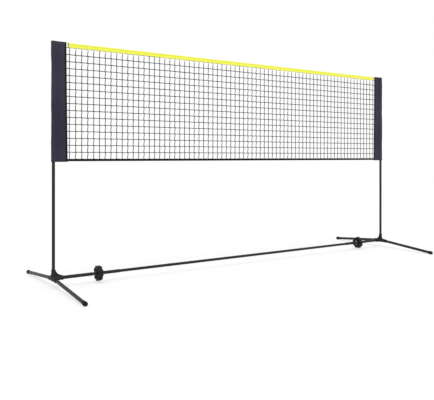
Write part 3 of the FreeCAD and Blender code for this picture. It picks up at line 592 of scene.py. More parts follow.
def strand_tree():
    """Strands down and across; the cross strands end at the sloping sleeves' edges."""
    graph, inputs = new_tree("net_strands", rows=ROWS, half_foot=1.0, half_top=1.0, band_half=1.0,
                             lean_down=LEAN_DOWN, lean_across=LEAN_ACROSS, **NET_SIZES)
    last_column = graph.math("SUBTRACT", inputs["Columns"], 1)
    last_row = graph.math("SUBTRACT", inputs["Rows"], 1)
    half = graph.math("MULTIPLY", graph.math("MULTIPLY", last_column, inputs["Column pitch"]), -0.5)
    top = graph.math("MULTIPLY_ADD", last_row, inputs["Row pitch"], inputs["Foot"])

    def xyz(x=0.0, y=0.0, z=0.0):
        return graph.out("ShaderNodeCombineXYZ", {"X": x, "Y": y, "Z": z})

    def zigzag(meshes, pitch, lean):
        """One strand's points: how many, and how far along and aside each is."""
        index = graph.out("GeometryNodeInputIndex")
        place = graph.math("DIVIDE", graph.math("SUBTRACT", index, 0.5), float(POINTS_A_MESH))
        mesh = graph.math("FLOOR", place)
        share = graph.math("SUBTRACT", graph.math("SUBTRACT", place, mesh), 0.5)
        share = graph.math("MULTIPLY", share, STEP_BACK)
        along = graph.math("ADD", graph.math("ADD", mesh, 0.5), share)
        count = graph.math("MULTIPLY_ADD", meshes, float(POINTS_A_MESH), 2.0)
        return count, graph.math("MULTIPLY", along, pitch), graph.math("MULTIPLY", share, lean)

    def strands(points, count, place):
        line = graph.out("GeometryNodeCurvePrimitiveLine", {"End": (0.0, 0.0, 1.0)})
        many = graph.out("GeometryNodeResampleCurve", {"Curve": line, "Count": count})
        shaped = graph.out("GeometryNodeSetPosition", {
            "Geometry": many, "Position": place})
        placed = graph.out("GeometryNodeInstanceOnPoints", {
            "Points": points, "Instance": shaped})
        return graph.out("GeometryNodeRealizeInstances", {"Geometry": placed})

    across = graph.out("GeometryNodeMeshLine", {
        "Count": inputs["Columns"], "Start Location": xyz(x=half, z=inputs["Foot"]),
        "Offset": xyz(x=inputs["Column pitch"])})
    count, along, aside = zigzag(last_row, inputs["Row pitch"], inputs["Lean down"])
    down = strands(across, count, xyz(x=aside, z=along))

    up = graph.out("GeometryNodeMeshLine", {
        "Count": inputs["Rows"], "Start Location": xyz(x=half, z=inputs["Foot"]),
        "Offset": xyz(z=inputs["Row pitch"])})
    count, along, aside = zigzag(last_column, inputs["Column pitch"], inputs["Lean across"])
    level = strands(up, count, xyz(x=along, z=graph.math("MULTIPLY", aside, -1.0)))

    where = graph.out("GeometryNodeInputPosition")
    split = graph.add("ShaderNodeSeparateXYZ", {0: where}).outputs
    side = graph.math("SIGN", split["X"])
    minus_x = graph.math("MULTIPLY", graph.math("ABSOLUTE", split["X"]), -1.0)
    inside = graph.math("LESS_THAN", half, minus_x)
    beyond = graph.math("SUBTRACT", 1.0, inside)
    edge = graph.remap(split["Z"], inputs["Half foot"], inputs["Half top"], inputs["Foot"], top)
    to_sleeve = xyz(x=graph.math("MULTIPLY", edge, side), z=split["Z"])
    level = graph.out("GeometryNodeSetPosition", {
        "Geometry": level, "Selection": beyond, "Position": to_sleeve})

    both = graph.add("GeometryNodeJoinGeometry")
    graph.tree.links.new(down, both.inputs[0])
    graph.tree.links.new(level, both.inputs[0])
    moved = wander(graph, inputs, both.outputs[0])
    band_from = graph.math("SUBTRACT", top, inputs["Lean down"])
    high = graph.math("GREATER_THAN", split["Z"], band_from)
    short = graph.math("LESS_THAN", graph.math("ABSOLUTE", split["X"]), inputs["Band half"])
    in_band = graph.math("MULTIPLY", high, short)
    pressed = graph.math("MULTIPLY_ADD", in_band, -0.5, 1.0)
    radius = graph.math("MULTIPLY", inputs["Twine"], 0.5)
    return end_tree(graph, inputs, swept(graph, moved, radius, TWINE_SIDES, pressed))


strands = grow(strand_tree(), net_twine, rows=ROWS, half_foot=edge_x(NET_FOOT) + SEWN_IN,
               half_top=edge_x(BAND_LOW) + SEWN_IN, band_half=BAND_HALF, lean_down=LEAN_DOWN,
               lean_across=LEAN_ACROSS, **NET_SIZES)
net = piece_from("net_strands", strands, net_twine, "raised_net", ["net_mesh"])
print("net strands:", len(net.data.polygons), "faces")

# %% [markdown]
# A netting knot is a small lump where one strand is wrapped round the other. A
# true knot of swept twine would take hundreds of faces for each of a thousand
# crossings, and from any distance only the lump and its slanting wrap show. So
# the lump is a flattened ball, the wrap is a slanting ring of twine, and every
# knot is turned a little differently by a random number with a fixed seed.

# %% Net: knots
KNOT_ROWS, KNOT_SEED = ROWS - 2, 4
LUMP_RADIUS, WRAP_RADIUS, WRAP_CORD = 0.86, 0.62, 0.34


def knot_tree():
    """One knot on each point of a grid; the knot's own sizes are shares of the twine."""
    graph, inputs = new_tree("net_knots", rows=KNOT_ROWS, seed=KNOT_SEED, **NET_SIZES)
    last_column = graph.math("SUBTRACT", inputs["Columns"], 1)
    last_row = graph.math("SUBTRACT", inputs["Rows"], 1)
    width = graph.math("MULTIPLY", last_column, inputs["Column pitch"])
    height = graph.math("MULTIPLY", last_row, inputs["Row pitch"])
    grid = graph.out("GeometryNodeMeshGrid", {
        "Size X": width, "Size Y": height, "Vertices X": inputs["Columns"],
        "Vertices Y": inputs["Rows"]})
    place = graph.out("GeometryNodeInputPosition")
    split = graph.add("ShaderNodeSeparateXYZ", {0: place}).outputs
    first = graph.math("ADD", inputs["Foot"], inputs["Row pitch"])
    middle = graph.math("MULTIPLY_ADD", height, 0.5, first)
    upright = graph.out("ShaderNodeCombineXYZ", {
        "X": split["X"], "Z": graph.math("ADD", split["Y"], middle)})
    stood = graph.out("GeometryNodeSetPosition", {"Geometry": grid, "Position": upright})
    moved = wander(graph, inputs, stood)

    ball = graph.out("GeometryNodeMeshUVSphere", {
        "Segments": 8, "Rings": 5,
        "Radius": graph.math("MULTIPLY", inputs["Twine"], LUMP_RADIUS)})
    flat = graph.out("GeometryNodeTransform", {
        "Geometry": ball, "Scale": (1.15, 0.85, 1.0)})
    circle = graph.out("GeometryNodeCurvePrimitiveCircle", {
        "Resolution": 9, "Radius": graph.math("MULTIPLY", inputs["Twine"], WRAP_RADIUS)})
    wrap = swept(graph, circle, graph.math("MULTIPLY", inputs["Twine"], WRAP_CORD), 4)
    slanted = graph.out("GeometryNodeTransform", {
        "Geometry": wrap, "Rotation": (math.radians(35), math.radians(50), 0)})
    knot = graph.add("GeometryNodeJoinGeometry")
    graph.tree.links.new(flat, knot.inputs[0])
    graph.tree.links.new(slanted, knot.inputs[0])
    turn = graph.add("FunctionNodeRandomValue", {
        "Min": (-0.3, -0.5, -0.3), "Max": (0.3, 0.5, 0.3), "Seed": inputs["Seed"]},
        data_type="FLOAT_VECTOR").outputs["Value"]
    knots = graph.out("GeometryNodeInstanceOnPoints", {
        "Points": moved, "Instance": knot.outputs[0], "Rotation": turn})
    return end_tree(graph, inputs, knots)


knots = grow(knot_tree(), net_twine, rows=KNOT_ROWS, seed=KNOT_SEED, **NET_SIZES)
net_knots = piece_from("net_knots", knots, net_twine, "raised_net")
print("net knots:", len(net_knots.data.polygons), "faces")

# %% [markdown]
# ## Yellow top band
# The band is one length of tape, folded over the head cord and sewn through
# both layers with the net's top strand between them. It could be a bent strip
# with a modifier for its fold, but the cord and the stitches shape it at known
# heights. So its section is a line of points round the cord and down both
# sides, repeated along the net, with a fine unevenness where the stitches pull
# it in.

# %% Band
BAND_STEPS = 420
CORD_Z, FOLD_RADIUS, LEG_HALF, TAPE = 1.5405, 0.0044, 0.0021, 0.0009
STITCH_ROWS = (BAND_LOW + 0.0035, CORD_Z - 0.0075)
PINCH_WIDTH, PINCH_DEPTH, RIPPLE, SAG = 0.0012, 0.00035, 0.00035, 0.0006


def band_section(x):
    """Points of the tape from its front lower edge over the cord to the back one."""
    section = []
    for z in np.linspace(BAND_LOW, CORD_Z - 0.006, 9):
        pinch = sum(math.exp(-((z - row) / PINCH_WIDTH) ** 2) for row in STITCH_ROWS)
        ripple = noise.noise((x * 60, 3.0, z * 90)) * RIPPLE
        section.append((-(LEG_HALF + 0.0003 - PINCH_DEPTH * pinch + ripple), z))
    for step in range(13):
        angle = math.radians(-130 + 260 * step / 12)
        section.append((FOLD_RADIUS * math.sin(angle), CORD_Z + FOLD_RADIUS * math.cos(angle)))
    back = [(-y, z) for y, z in reversed(section[:9])]
    sag = SAG * noise.noise((x * 4, 0.0, 0.0))
    return [(x, y, z + sag * (CORD_Z - z) / 0.024) for y, z in section + back]


band_places = np.linspace(-BAND_HALF, BAND_HALF, BAND_STEPS)
band_rows = [band_section(x) for x in band_places]
band_mesh = grid_mesh("band", band_rows, distances(band_rows[0]), band_places)
band = piece_from("band", thicken(band_mesh, TAPE), band_cloth, "raised_net",
                  ["top_band"])
print("band:", len(band.data.polygons), "faces")

# %% [markdown]
# Stitches are short lengths of thread that come out of the cloth and go back
# in. Dashes in the material would look flat from the side and be lost in the
# exported mesh. Each stitch is a line of four points instead, and Geometry Nodes
# sweeps the thread round all of them.

# %% Stitches
STITCH_PITCH, THREAD, THREAD_SIDES = 0.0042, 0.0007, 5
SEAM_POINTS, SEAM_START, ON_CLOTH = 300, 0.004, 0.0001


def stitch_tree():
    """Sweeps a thread round each line of the start mesh."""
    graph, inputs = new_tree("stitches", thread=THREAD)
    start = graph.tree.nodes["Group Input"].outputs["Geometry"]
    lines = graph.out("GeometryNodeMeshToCurve", {"Mesh": start})
    radius = graph.math("MULTIPLY", inputs["Thread"], 0.5)
    return end_tree(graph, inputs, swept(graph, lines, radius, THREAD_SIDES))


STITCHES = stitch_tree()


def stitches(name, line, pitch, thread, material, gap=0.3):
    """Sews along a line given as points with their outward directions."""
    points, edges = [], []
    places = [Vector(p) for p, _ in line]
    ways = [Vector(n).normalized() for _, n in line]
    run = distances(places)
    for k in range(int(run[-1] / pitch)):
        ends = []
        for at in (k * pitch, (k + 1 - gap) * pitch):
            i = min(max(np.searchsorted(run, at) - 1, 0), len(run) - 2)
            share = (at - run[i]) / max(run[i + 1] - run[i], 1e-9)
            ends.append((places[i].lerp(places[i + 1], share), ways[i].lerp(ways[i + 1], share)))
        (a, out_a), (b, out_b) = ends
        first = len(points)
        low, high = -thread, thread * 0.3
        mid_a, mid_b = a.lerp(b, 0.15), a.lerp(b, 0.85)
        points += [a + out_a * low, mid_a + out_a * high, mid_b + out_b * high, b + out_b * low]
        edges += [(first, first + 1), (first + 1, first + 2), (first + 2, first + 3)]
    start = bpy.data.meshes.new(name)
    start.from_pydata([tuple(p) for p in points], edges, [])
    mesh = grow(STITCHES, material, start, thread=thread)
    return piece_from(name, mesh, material, "raised_net")


FACES = (("front", -1), ("back", 1))


def long_seam(name, half, way, away, z, thread, material):
    """A straight row of stitches along the net, on one face of a tape."""
    line = [((x, way * away, z), (0, way, 0))
            for x in np.linspace(-half + SEAM_START, half - SEAM_START, SEAM_POINTS)]
    stitches(name, line, STITCH_PITCH, thread, material)


for face, way in FACES:
    for which, z in zip(("lower", "upper"), STITCH_ROWS):
        long_seam("band_stitch_%s_%s" % (face, which), BAND_HALF, way, LEG_HALF + ON_CLOTH, z,
                  THREAD, band_thread)
print("band stitched in", 2 * len(STITCH_ROWS), "rows")

# %% [markdown]
# ## Hem tape
# The net's foot is bound with a narrow black tape, folded round the foot cord.
# It is made as the band is, by one section repeated along the net: a flat
# rounded loop that is open upwards, where the lowest strand of the net is sewn
# in.

# %% Hem
HEM_STEPS = 420
HEM_HALF_Y = 0.0024
HEM_LOW, HEM_HIGH = 0.7937, 0.8091
HEM_FLAT, HEM_THREAD, HEM_RIPPLE, HEM_ROUND = 0.03, 0.0006, 0.0003, 0.004


def hem_section(x):
    """Points of the tape from its front upper edge under the cord to the back one."""
    half = []
    for z in np.linspace(HEM_HIGH, HEM_LOW + HEM_ROUND, 6):
        ripple = noise.noise((x * 55, 9.0, z * 90)) * HEM_RIPPLE
        half.append((-(HEM_HALF_Y + ripple), z))
    bottom = []
    for step in range(1, 8):
        angle = math.radians(180 * step / 8)
        bottom.append((-HEM_HALF_Y * math.cos(angle),
                       HEM_LOW + HEM_ROUND - 0.0038 * math.sin(angle)))
    back = [(-y, z) for y, z in reversed(half)]
    return [(x, y, z) for y, z in half + bottom + back]


hem_half = edge_x(NET_FOOT) - 0.0008
hem_places = np.linspace(-hem_half, hem_half, HEM_STEPS)
hem_rows = [hem_section(x) for x in hem_places]
hem_mesh = grid_mesh("hem", hem_rows, distances(hem_rows[0]), hem_places)
hem = piece_from("hem", thicken(hem_mesh, TAPE), hem_cloth, "raised_net",
                 ["bottom_hem"])
for face, way in FACES:
    long_seam("hem_stitch_" + face, hem_half, way, HEM_HALF_Y + ON_CLOTH, HEM_HIGH - 0.003,
              HEM_THREAD, dark_thread)
print("hem:", len(hem.data.polygons), "faces")

# %% [markdown]
# ## Head cord and foot cord
# Two cords run through the band and the hem and carry the pull between the
# sleeves, so they are straight. A plain tube would do inside the tape, but the
# head cord shows at both ends of the band. So each is a smooth line through a
# few points, and three strands wind round it as in a laid rope.

# %% Ropes
def centre_line(points):
    """The smooth line that a cord follows, as points read from its own spline."""
    data = bpy.data.curves.new("route", "CURVE")
    data.dimensions = "3D"
    data.resolution_u = 24
    spline = data.splines.new("NURBS")
    spline.points.add(len(points) - 1)
    for point, place in zip(spline.points, points):
        point.co = (*place, 1)
    spline.order_u = 3
    spline.use_endpoint_u = True
    mesh = plain_mesh(into_scene("route", data))
    line = [v.co.copy() for v in mesh.vertices]
    bpy.data.meshes.remove(mesh)
    return line


ROPE_STRANDS, YARN_SHARE, STEPS_A_TURN = 3, 0.53, 9


def rope(name, points, diameter, twist, material, node):
    """A laid rope: its strands wind round the smooth line of the route."""
    line = centre_line(points)
    run = distances(line)
    length = run[-1]
    radius = diameter / 2 * YARN_SHARE
    wind = diameter / 2 - radius
    count = int(length / twist * STEPS_A_TURN)
    start_points, edges = [], []
    for strand in range(ROPE_STRANDS):
        for k in range(count + 1):
            at = length * k / count
            i = min(max(int(np.searchsorted(run, at)) - 1, 0), len(run) - 2)
            centre = line[i].lerp(line[i + 1], (at - run[i]) / (run[i + 1] - run[i]))
            ahead = (line[i + 1] - line[i]).normalized()
            side = ahead.cross(Vector((0, 0, 1))).normalized()
            up = side.cross(ahead)
            angle = 2 * math.pi * (at / twist + strand / ROPE_STRANDS)
            start_points.append(centre + (side * math.cos(angle) + up * math.sin(angle)) * wind)
            if k:
                edges.append((len(start_points) - 2, len(start_points) - 1))
    start = bpy.data.meshes.new(name)
    start.from_pydata([tuple(p) for p in start_points], edges, [])
    mesh = grow(STITCHES, material, start, thread=2 * radius)
    made = piece_from(name, mesh, material, "raised_net", [node])
    return made


HEAD_CORD, HEAD_TWIST = 0.006, 0.022
FOOT_CORD, FOOT_TWIST, FOOT_CORD_Z = 0.0026, 0.012, 0.8015


def route(half, z):
    """A few points along the net, from one sleeve to the other."""
    return [(x, 0.0, z) for x in (-half, -1.2, -0.7, 0.0, 0.7, 1.2, half)]


head = rope("head_rope", route(edge_x(CORD_Z), CORD_Z), HEAD_CORD, HEAD_TWIST, head_rope,
            "head_cord")
foot = rope("foot_rope", route(hem_half - 0.0004, FOOT_CORD_Z), FOOT_CORD, FOOT_TWIST, foot_rope,
            "foot_cord")
print("ropes:", len(head.data.polygons), len(foot.data.polygons), "faces")

# %% [markdown]
# ## Lashings
# A thin cord ties each end of the band to the net's top strand. It goes round
# the band several times, each turn beside the last. Rings would be simpler, but
# a real lashing is one cord, so its turns are one line that steps sideways, and
# the stitches' tree sweeps the cord along it.

# %% Lashings
LASH_X, LASH_TURNS, LASH_CORD = 1.427, 3, 0.0016


def lashing(side, way):
    """One line of points round the band, turn beside turn, made into cord."""
    half_y = LEG_HALF + LASH_CORD / 2 + 0.0004
    low = BAND_LOW - 0.0035
    high = CORD_Z + FOLD_RADIUS + LASH_CORD / 2 + 0.0002
    loop = []
    for z in np.linspace(low + 0.002, CORD_Z - 0.007, 7):
        loop.append((-half_y, z))
    for step in range(11):
        angle = math.radians(-115 + 230 * step / 10)
        fold = FOLD_RADIUS + LASH_CORD / 2
        loop.append((fold * math.sin(angle), CORD_Z + fold * math.cos(angle)))
    loop += [(-y, z) for y, z in reversed(loop[:7])]
    loop += [(half_y * 0.7, low + 0.0005), (0.0, low), (-half_y * 0.7, low + 0.0005)]
    points = []
    for turn in range(LASH_TURNS):
        for k, (y, z) in enumerate(loop):
            step = turn + k / len(loop) - LASH_TURNS / 2
            lean = 0.0003 * noise.noise((turn * 3.1, y * 300, z * 60))
            points.append((way * (LASH_X - step * LASH_CORD * 1.02) + lean, y, z))
    start = bpy.data.meshes.new(side + "_lashing")
    start.from_pydata(points, [(k, k + 1) for k in range(len(points) - 1)], [])
    mesh = grow(STITCHES, lashing_cord, start, thread=LASH_CORD)
    piece_from(side + "_lashing", mesh, lashing_cord, "raised_net",
               [side + "_band_lashing"])


for side, way in SIDES:
    lashing(side, way)
print("lashings:", 2)

# %% [markdown]
# ## Fabric sleeves
# A sleeve is one piece of coated cloth, folded round the post and sewn to
# itself, so it is a round pocket over the post and two flat layers from there to
# the sewn edge that holds the net. Its section runs once round all of this. The
# pull of the net flattens the two layers, and slack in the pocket gives soft
# upright folds. A cloth simulation could find such folds, but the cloth is held
# on all sides, and noise stretched along Z gives the same shallow folds at once
# and at every run. The seams press the cloth flat. At its top the cloth closes
# over the post cap.

# %% Sleeves
SLEEVE_ROWS = 260
POCKET_RADIUS, FLAT_HALF, CLOTH = 0.0142, 0.0019, 0.0009
EDGE_SEAM, POCKET_SEAM, SEAM_WIDTH, SEAM_DIP = 0.0105, 0.034, 0.0022, 0.0004
UPRIGHT_FOLD, SLANTING_FOLD, PUCKER = 0.0026, 0.0019, 0.0011
TANGENT = math.radians(52)
CROWN, CROWN_RISE, CROWN_STEPS = 0.0035, 0.0033, 5
FOLD_SEEDS = {"left": 3.7, "right": 11.2}


def sleeve_section(z, seed):
    """Points of the cloth round the post, from the inner edge and back to it."""
    u_edge = reach(z)
    flat = [(u, FLAT_HALF) for u in np.linspace(u_edge - 0.0012, POCKET_SEAM, 22)]
    u_tangent = POCKET_RADIUS * math.cos(TANGENT)
    v_tangent = POCKET_RADIUS * math.sin(TANGENT)
    for k in range(1, 8):
        t = k / 8
        ease = t * t * (3 - 2 * t)
        flat.append((POCKET_SEAM + (u_tangent - POCKET_SEAM) * t,
                     FLAT_HALF + (v_tangent - FLAT_HALF) * ease))
    curve = []
    for k in range(19):
        angle = TANGENT + (2 * math.pi - 2 * TANGENT) * k / 18
        curve.append((POCKET_RADIUS * math.cos(angle), POCKET_RADIUS * math.sin(angle)))
    half = flat + curve[:10]
    other = [(u, -v) for u, v in reversed(half[:-1])]
    edge = [(u_edge, -0.0011), (u_edge + 0.0004, 0.0), (u_edge, 0.0011)]
    loop = half + other + edge
    crumpled = []
    seams = (u_edge - EDGE_SEAM, POCKET_SEAM)
    for u, v in loop:
        side = 1.0 if v > 0 else -1.0
        seam = sum(math.exp(-((u - at) / SEAM_WIDTH) ** 2) for at in seams)
        away = smooth_step(u_edge - 0.001, u_edge - 0.014, u)
        upright = noise.noise((u * 42 + seed, side * 2.3, z * 4.5))
        slanting = noise.noise((u * 26 + z * 9 + seed, side * 5.1, z * 11))
        pucker = noise.noise((u * 20, side * 7 + seed, z * 85))
        pucker *= math.exp(-((u - POCKET_SEAM) / 0.010) ** 2)
        swell = UPRIGHT_FOLD * upright + SLANTING_FOLD * slanting + PUCKER * pucker
        push = away * (1 - min(seam, 1.0)) * swell - SEAM_DIP * seam * away
        length = math.hypot(u, v)
        if u < u_tangent:
            crumpled.append((u + u / length * push * 0.9, v + v / length * push * 0.9))
        else:
            crumpled.append((u, v + side * max(push, -0.0010)))
    return crumpled


def sleeve(side, way):
    """The sections up the post, a crown that closes over it, and the cloth's thickness."""
    seed = FOLD_SEEDS[side]
    shoulder = SLEEVE_TOP - CROWN
    heights = list(np.linspace(SLEEVE_FOOT, shoulder, SLEEVE_ROWS))
    rows = []
    for z in heights:
        rows.append([(way * (POST_X - u), v, z) for u, v in sleeve_section(z, seed)])
    top = sleeve_section(shoulder, seed)
    for step in range(1, CROWN_STEPS + 1):
        angle = math.radians(90 * step / CROWN_STEPS)
        z = shoulder + CROWN_RISE * math.sin(angle)
        closed = max(math.cos(angle), 0.02)
        shrink = 0.0015 * (1 - math.cos(angle))
        row = []
        for u, v in top:
            middle = min(max(u, -0.0125 + shrink), reach(SLEEVE_TOP) - shrink)
            row.append((way * (POST_X - middle), v * closed, z))
        rows.append(row)
    along = heights + [SLEEVE_TOP + 0.002 * step for step in range(CROWN_STEPS)]
    across = distances(rows[0] + [rows[0][0]])
    mesh = grid_mesh(side + "_sleeve", rows, across, along, closed=True)
    outward(mesh)
    made = piece_from(side + "_sleeve_cloth", thicken(mesh, CLOTH), sleeve_cloth, "raised_net",
                      [side + "_sleeve"])
    return made


def tape_section(line, y_half, out, across):
    """A folded tape's section at each point of a line: one leg, the fold, the other leg."""
    rows = []
    for (x, z), (ux, uz) in zip(line, across):
        row = []
        for share in np.linspace(1.0, 0.0, 6):
            row.append((x - ux * out * share, -y_half, z - uz * out * share))
        for step in range(1, 6):
            angle = math.radians(-90 + 180 * step / 6)
            bulge = y_half * math.cos(angle)
            row.append((x + ux * bulge, y_half * math.sin(angle), z + uz * bulge))
        for share in np.linspace(0.0, 1.0, 6):
            row.append((x - ux * out * share, y_half, z - uz * out * share))
        rows.append(row)
    return rows


BINDING_STEPS, BINDING_WIDTH, BINDING_TAPE = 150, 0.0075, 0.0006


def binding(side, way):
    """Black tape folded over the sewn edge of a sleeve."""
    line, across = [], []
    for z in np.linspace(SLEEVE_FOOT + 0.0004, SLEEVE_TOP - 0.0012, BINDING_STEPS):
        ripple = 0.0003 * noise.noise((z * 40, 4.0, way * 3.0))
        line.append((way * (POST_X - reach(z)) + ripple, z))
        across.append((-way, 0.0))
    rows = tape_section(line, FLAT_HALF + BINDING_TAPE, BINDING_WIDTH, across)
    mesh = grid_mesh(side + "_binding", rows, distances(rows[0]),
                     distances([(x, 0, z) for x, z in line]))
    outward(mesh)
    return piece_from(side + "_sleeve_binding", thicken(mesh, BINDING_TAPE), hem_cloth,
                      "raised_net")


SLEEVE_STITCH, FOOT_SEAM = 0.004, 0.008


def foot_seam(side, way):
    """The line of the stitches round a sleeve's foot, with the ways out of the cloth."""
    z = SLEEVE_FOOT + FOOT_SEAM
    loop = sleeve_section(z, FOLD_SEEDS[side])
    line = []
    for (u0, v0), (u, v), (u1, v1) in zip(loop, loop[1:], loop[2:]):
        line.append(((way * (POST_X - u), v, z), (way * (v1 - v0), u1 - u0, 0)))
    return line[3:-3]


for side, way in SIDES:
    edging = binding(side, way)
    made = sleeve(side, way)
    for face, out in FACES:
        for which, inset in (("edge", EDGE_SEAM), ("pocket", None)):
            line = []
            for z in np.linspace(SLEEVE_FOOT + 0.004, SLEEVE_TOP - 0.005, 160):
                u = reach(z) - inset if inset else POCKET_SEAM
                line.append(((way * (POST_X - u), out * (FLAT_HALF + ON_CLOTH), z), (0, out, 0)))
            stitches("%s_sleeve_stitch_%s_%s" % (side, face, which), line, SLEEVE_STITCH, THREAD,
                     dark_thread)
    stitches(side + "_sleeve_stitch_foot", foot_seam(side, way), SLEEVE_STITCH, THREAD,
             dark_thread)
    print(side, "sleeve:", len(made.data.polygons), "faces")

# %% [markdown]
# ## Tension screws
# Each hand nut runs on a coarse trapezoid thread. A Screw modifier could wind a
# profile, but its ends would need trimming. Here the thread is a rule for the
# radius: going once round moves it one pitch along, so the radius at a point
# depends on its place along the screw and its angle, and it can fade out at both
# ends as a moulded thread does.

# %% Screw threads
SCREW_PITCH, CREST, ROOT = 0.006, 0.0080, 0.0062
SCREW_SIDES, SCREW_STEPS_A_PITCH = 32, 12
SCREW_START, SCREW_END = 0.2625, 0.349


def screw_radius(along, angle):
    """The thread's rule: a crest, two flanks and a root in each pitch."""
    phase = (along / SCREW_PITCH - angle / (2 * math.pi)) % 1.0
    flank = smooth_step(0.10, 0.26, phase) - smooth_step(0.60, 0.76, phase)
    lead = (smooth_step(SCREW_END, SCREW_END - 0.004, along)
            * smooth_step(SCREW_START - 0.002, SCREW_START + 0.002, along))
    return ROOT + (CREST - ROOT) * flank * lead


SHOULDER = ((0.2575, 0.002), (0.2575, 0.0106), (0.2582, 0.0110), (0.2616, 0.0110),
            (0.2623, 0.0104), (0.2624, ROOT))
TIP_RADIUS = 0.004


def screw(side, way):
    """Rings of points along the bar: the shoulder, the thread and a blunt tip."""
    steps = int((SCREW_END - SCREW_START) / SCREW_PITCH * SCREW_STEPS_A_PITCH)
    alongs = [SCREW_START + (SCREW_END - SCREW_START) * k / steps for k in range(steps + 1)]
    angles = [2 * math.pi * k / SCREW_SIDES for k in range(SCREW_SIDES)]

    def ring(along, radii):
        return [(way * (POST_X - along), radius * math.cos(a), BAR_Z + radius * math.sin(a))
                for a, radius in zip(angles, radii)]

    rows = [ring(along, [radius] * SCREW_SIDES) for along, radius in SHOULDER]
    rows += [ring(along, [screw_radius(along, a) for a in angles]) for along in alongs]
    rows.append(ring(SCREW_END, [TIP_RADIUS] * SCREW_SIDES))
    mesh = grid_mesh(side + "_screw", rows, list(range(SCREW_SIDES + 1)), list(range(len(rows))),
                     closed=True)
    outward(mesh, fill=True)
    return piece_from(side + "_screw", mesh, screw_plastic, "base",
                      [side + "_tension_screw"])


for side, way in SIDES:
    screw(side, way)
print("screws cut at", SCREW_PITCH * 1000, "mm pitch")

# %% [markdown]
# ## Spring clips
# Inside each upper post a strip of spring steel is bent into a U. One leg rests
# on the wall of the tube and the other pushes the snap button out through its
# hole. When the button is pressed in, that leg goes with it and the bend closes
# a little. A rigid clip would stay behind and cut through the button. Here the
# strip is one piece with softened edges, swept along its U in one shape.

# %% Button clips
CLIP_Z, CLIP_FRONT, CLIP_BACK, CLIP_LEG, CLIP_DROP = 0.870, 0.0049, -0.0069, 0.008, 0.030
CLIP_WIDTH, CLIP_STEEL, CLIP_SOFT = 0.006, 0.0008, 0.0003
LEG_POINTS, BEND_STEPS = 14, 16


def clip_path():
    """Points down the button's leg, round the bend and up again, with the ways out of the U."""
    middle, radius = (CLIP_FRONT + CLIP_BACK) / 2, (CLIP_FRONT - CLIP_BACK) / 2
    top, bend = CLIP_Z + CLIP_LEG, CLIP_Z - CLIP_DROP
    path = [((CLIP_FRONT, z), (1.0, 0.0)) for z in np.linspace(top, bend, LEG_POINTS)]
    for k in range(1, BEND_STEPS):
        angle = math.pi * k / BEND_STEPS
        way = (math.cos(angle), -math.sin(angle))
        path.append(((middle + radius * way[0], bend + radius * way[1]), way))
    path += [((CLIP_BACK, z), (-1.0, 0.0)) for z in np.linspace(bend, top, LEG_POINTS)]
    return path


def clip(side, way):
    """A strip with softened edges along the path."""
    half, soft = CLIP_WIDTH / 2, CLIP_SOFT
    section = [(-half, soft), (-half + soft, 0.0), (half - soft, 0.0), (half, soft),
               (half, CLIP_STEEL - soft), (half - soft, CLIP_STEEL), (-half + soft, CLIP_STEEL),
               (-half, CLIP_STEEL - soft)]
    rows = []
    for (y, z), (out_y, out_z) in clip_path():
        rows.append([(way * POST_X + x, y - out_y * deep, z - out_z * deep)
                     for x, deep in section])
    mesh = grid_mesh(side + "_clip", rows, list(range(len(section) + 1)), list(range(len(rows))),
                     closed=True)
    outward(mesh, fill=True)
    mesh.materials.append(zinc)
    made = into_scene(side + "_spring_clip", mesh)
    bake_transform(made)
    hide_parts(side + "_button_clip")


for side, way in SIDES:
    clip(side, way)
print("clips bent:", 2)

# %% [markdown]
# ## Floor
# The picture is a product shot on pure white with only a faint shadow. Stronger
# lamps would make a grey floor white, but would wash out the object too. So the
# floor is a pale diffuse plane, which for the camera alone also glows: its lit
# part is plain white and only the shadow is left.

# %% Floor
FLOOR_HALF, FLOOR_STEPS = 12.0, 12
FLOOR_COLOUR, FLOOR_SHADOW, FLOOR_GLOW = 0.8, 0.38, 0.57
floor_mesh = bpy.data.meshes.new("floor")
cells = np.linspace(-FLOOR_HALF, FLOOR_HALF, FLOOR_STEPS + 1)
corners = [(x, y, 0.0) for y in cells for x in cells]
width = FLOOR_STEPS + 1
quads = [(r * width + c, r * width + c + 1, (r + 1) * width + c + 1, (r + 1) * width + c)
         for r in range(FLOOR_STEPS) for c in range(FLOOR_STEPS)]
floor_mesh.from_pydata(corners, [], quads)
floor = into_scene("floor", floor_mesh)

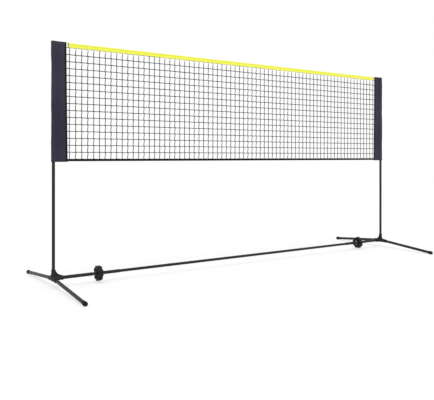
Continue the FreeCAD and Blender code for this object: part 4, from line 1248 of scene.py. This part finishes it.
floor_white, floor_graph, floor_shader = new_material("floor_white", (FLOOR_COLOUR,) * 3, 0.9, 0.0)
seen = floor_graph.add("ShaderNodeLightPath").outputs["Is Camera Ray"]
shadow_catch = floor_graph.out("ShaderNodeBsdfDiffuse", {
    "Color": (*(FLOOR_SHADOW,) * 3, 1)})
glow = floor_graph.out("ShaderNodeEmission", {
    "Color": (1, 1, 1, 1), "Strength": FLOOR_GLOW})
to_camera = floor_graph.out("ShaderNodeAddShader", {0: shadow_catch, 1: glow})
floor_mix = floor_graph.out("ShaderNodeMixShader", {
    0: seen, 1: floor_shader.outputs[0], 2: to_camera})
floor_out = floor_graph.tree.nodes["Material Output"]
floor_graph.tree.links.new(floor_mix, floor_out.inputs["Surface"])
floor_mesh.materials.append(floor_white)
print("floor:", 2 * FLOOR_HALF, "m square")

# %% [markdown]
# ## Light
# A studio lights such a set with large soft boxes from all sides, which area
# lamps could stand for. A white world does the same with fewer parts: it is
# white to the camera and in reflections, and a little dimmer as a light. A wide
# soft sun from the upper left gives the shapes a lit side and the floor its
# faint shadow.

# %% World and sun
WORLD_LIGHT, SUN_LIGHT = 0.9, 1.1
world = bpy.data.worlds.new("world")
world.use_nodes = True
world.node_tree.nodes.clear()
sky = Graph(world.node_tree)
rays = sky.add("ShaderNodeLightPath").outputs
bright = sky.math("MAXIMUM", rays["Is Camera Ray"], rays["Is Glossy Ray"])
bright = sky.math("MAXIMUM", bright, rays["Is Transmission Ray"])
strength = sky.remap(bright, WORLD_LIGHT, 1.0)
light = sky.add("ShaderNodeBackground", {"Color": (1, 1, 1, 1), "Strength": strength})
sky.add("ShaderNodeOutputWorld", {"Surface": light.outputs[0]})
bpy.context.scene.world = world

sun_data = bpy.data.lights.new("sun", "SUN")
sun_data.energy = SUN_LIGHT
sun_data.angle = math.radians(25)
sun = into_scene("sun", sun_data)
sun.rotation_euler = (math.radians(22), math.radians(-14), 0)
bpy.context.scene.view_settings.view_transform = "Standard"
print("light: world", WORLD_LIGHT, "sun", SUN_LIGHT)
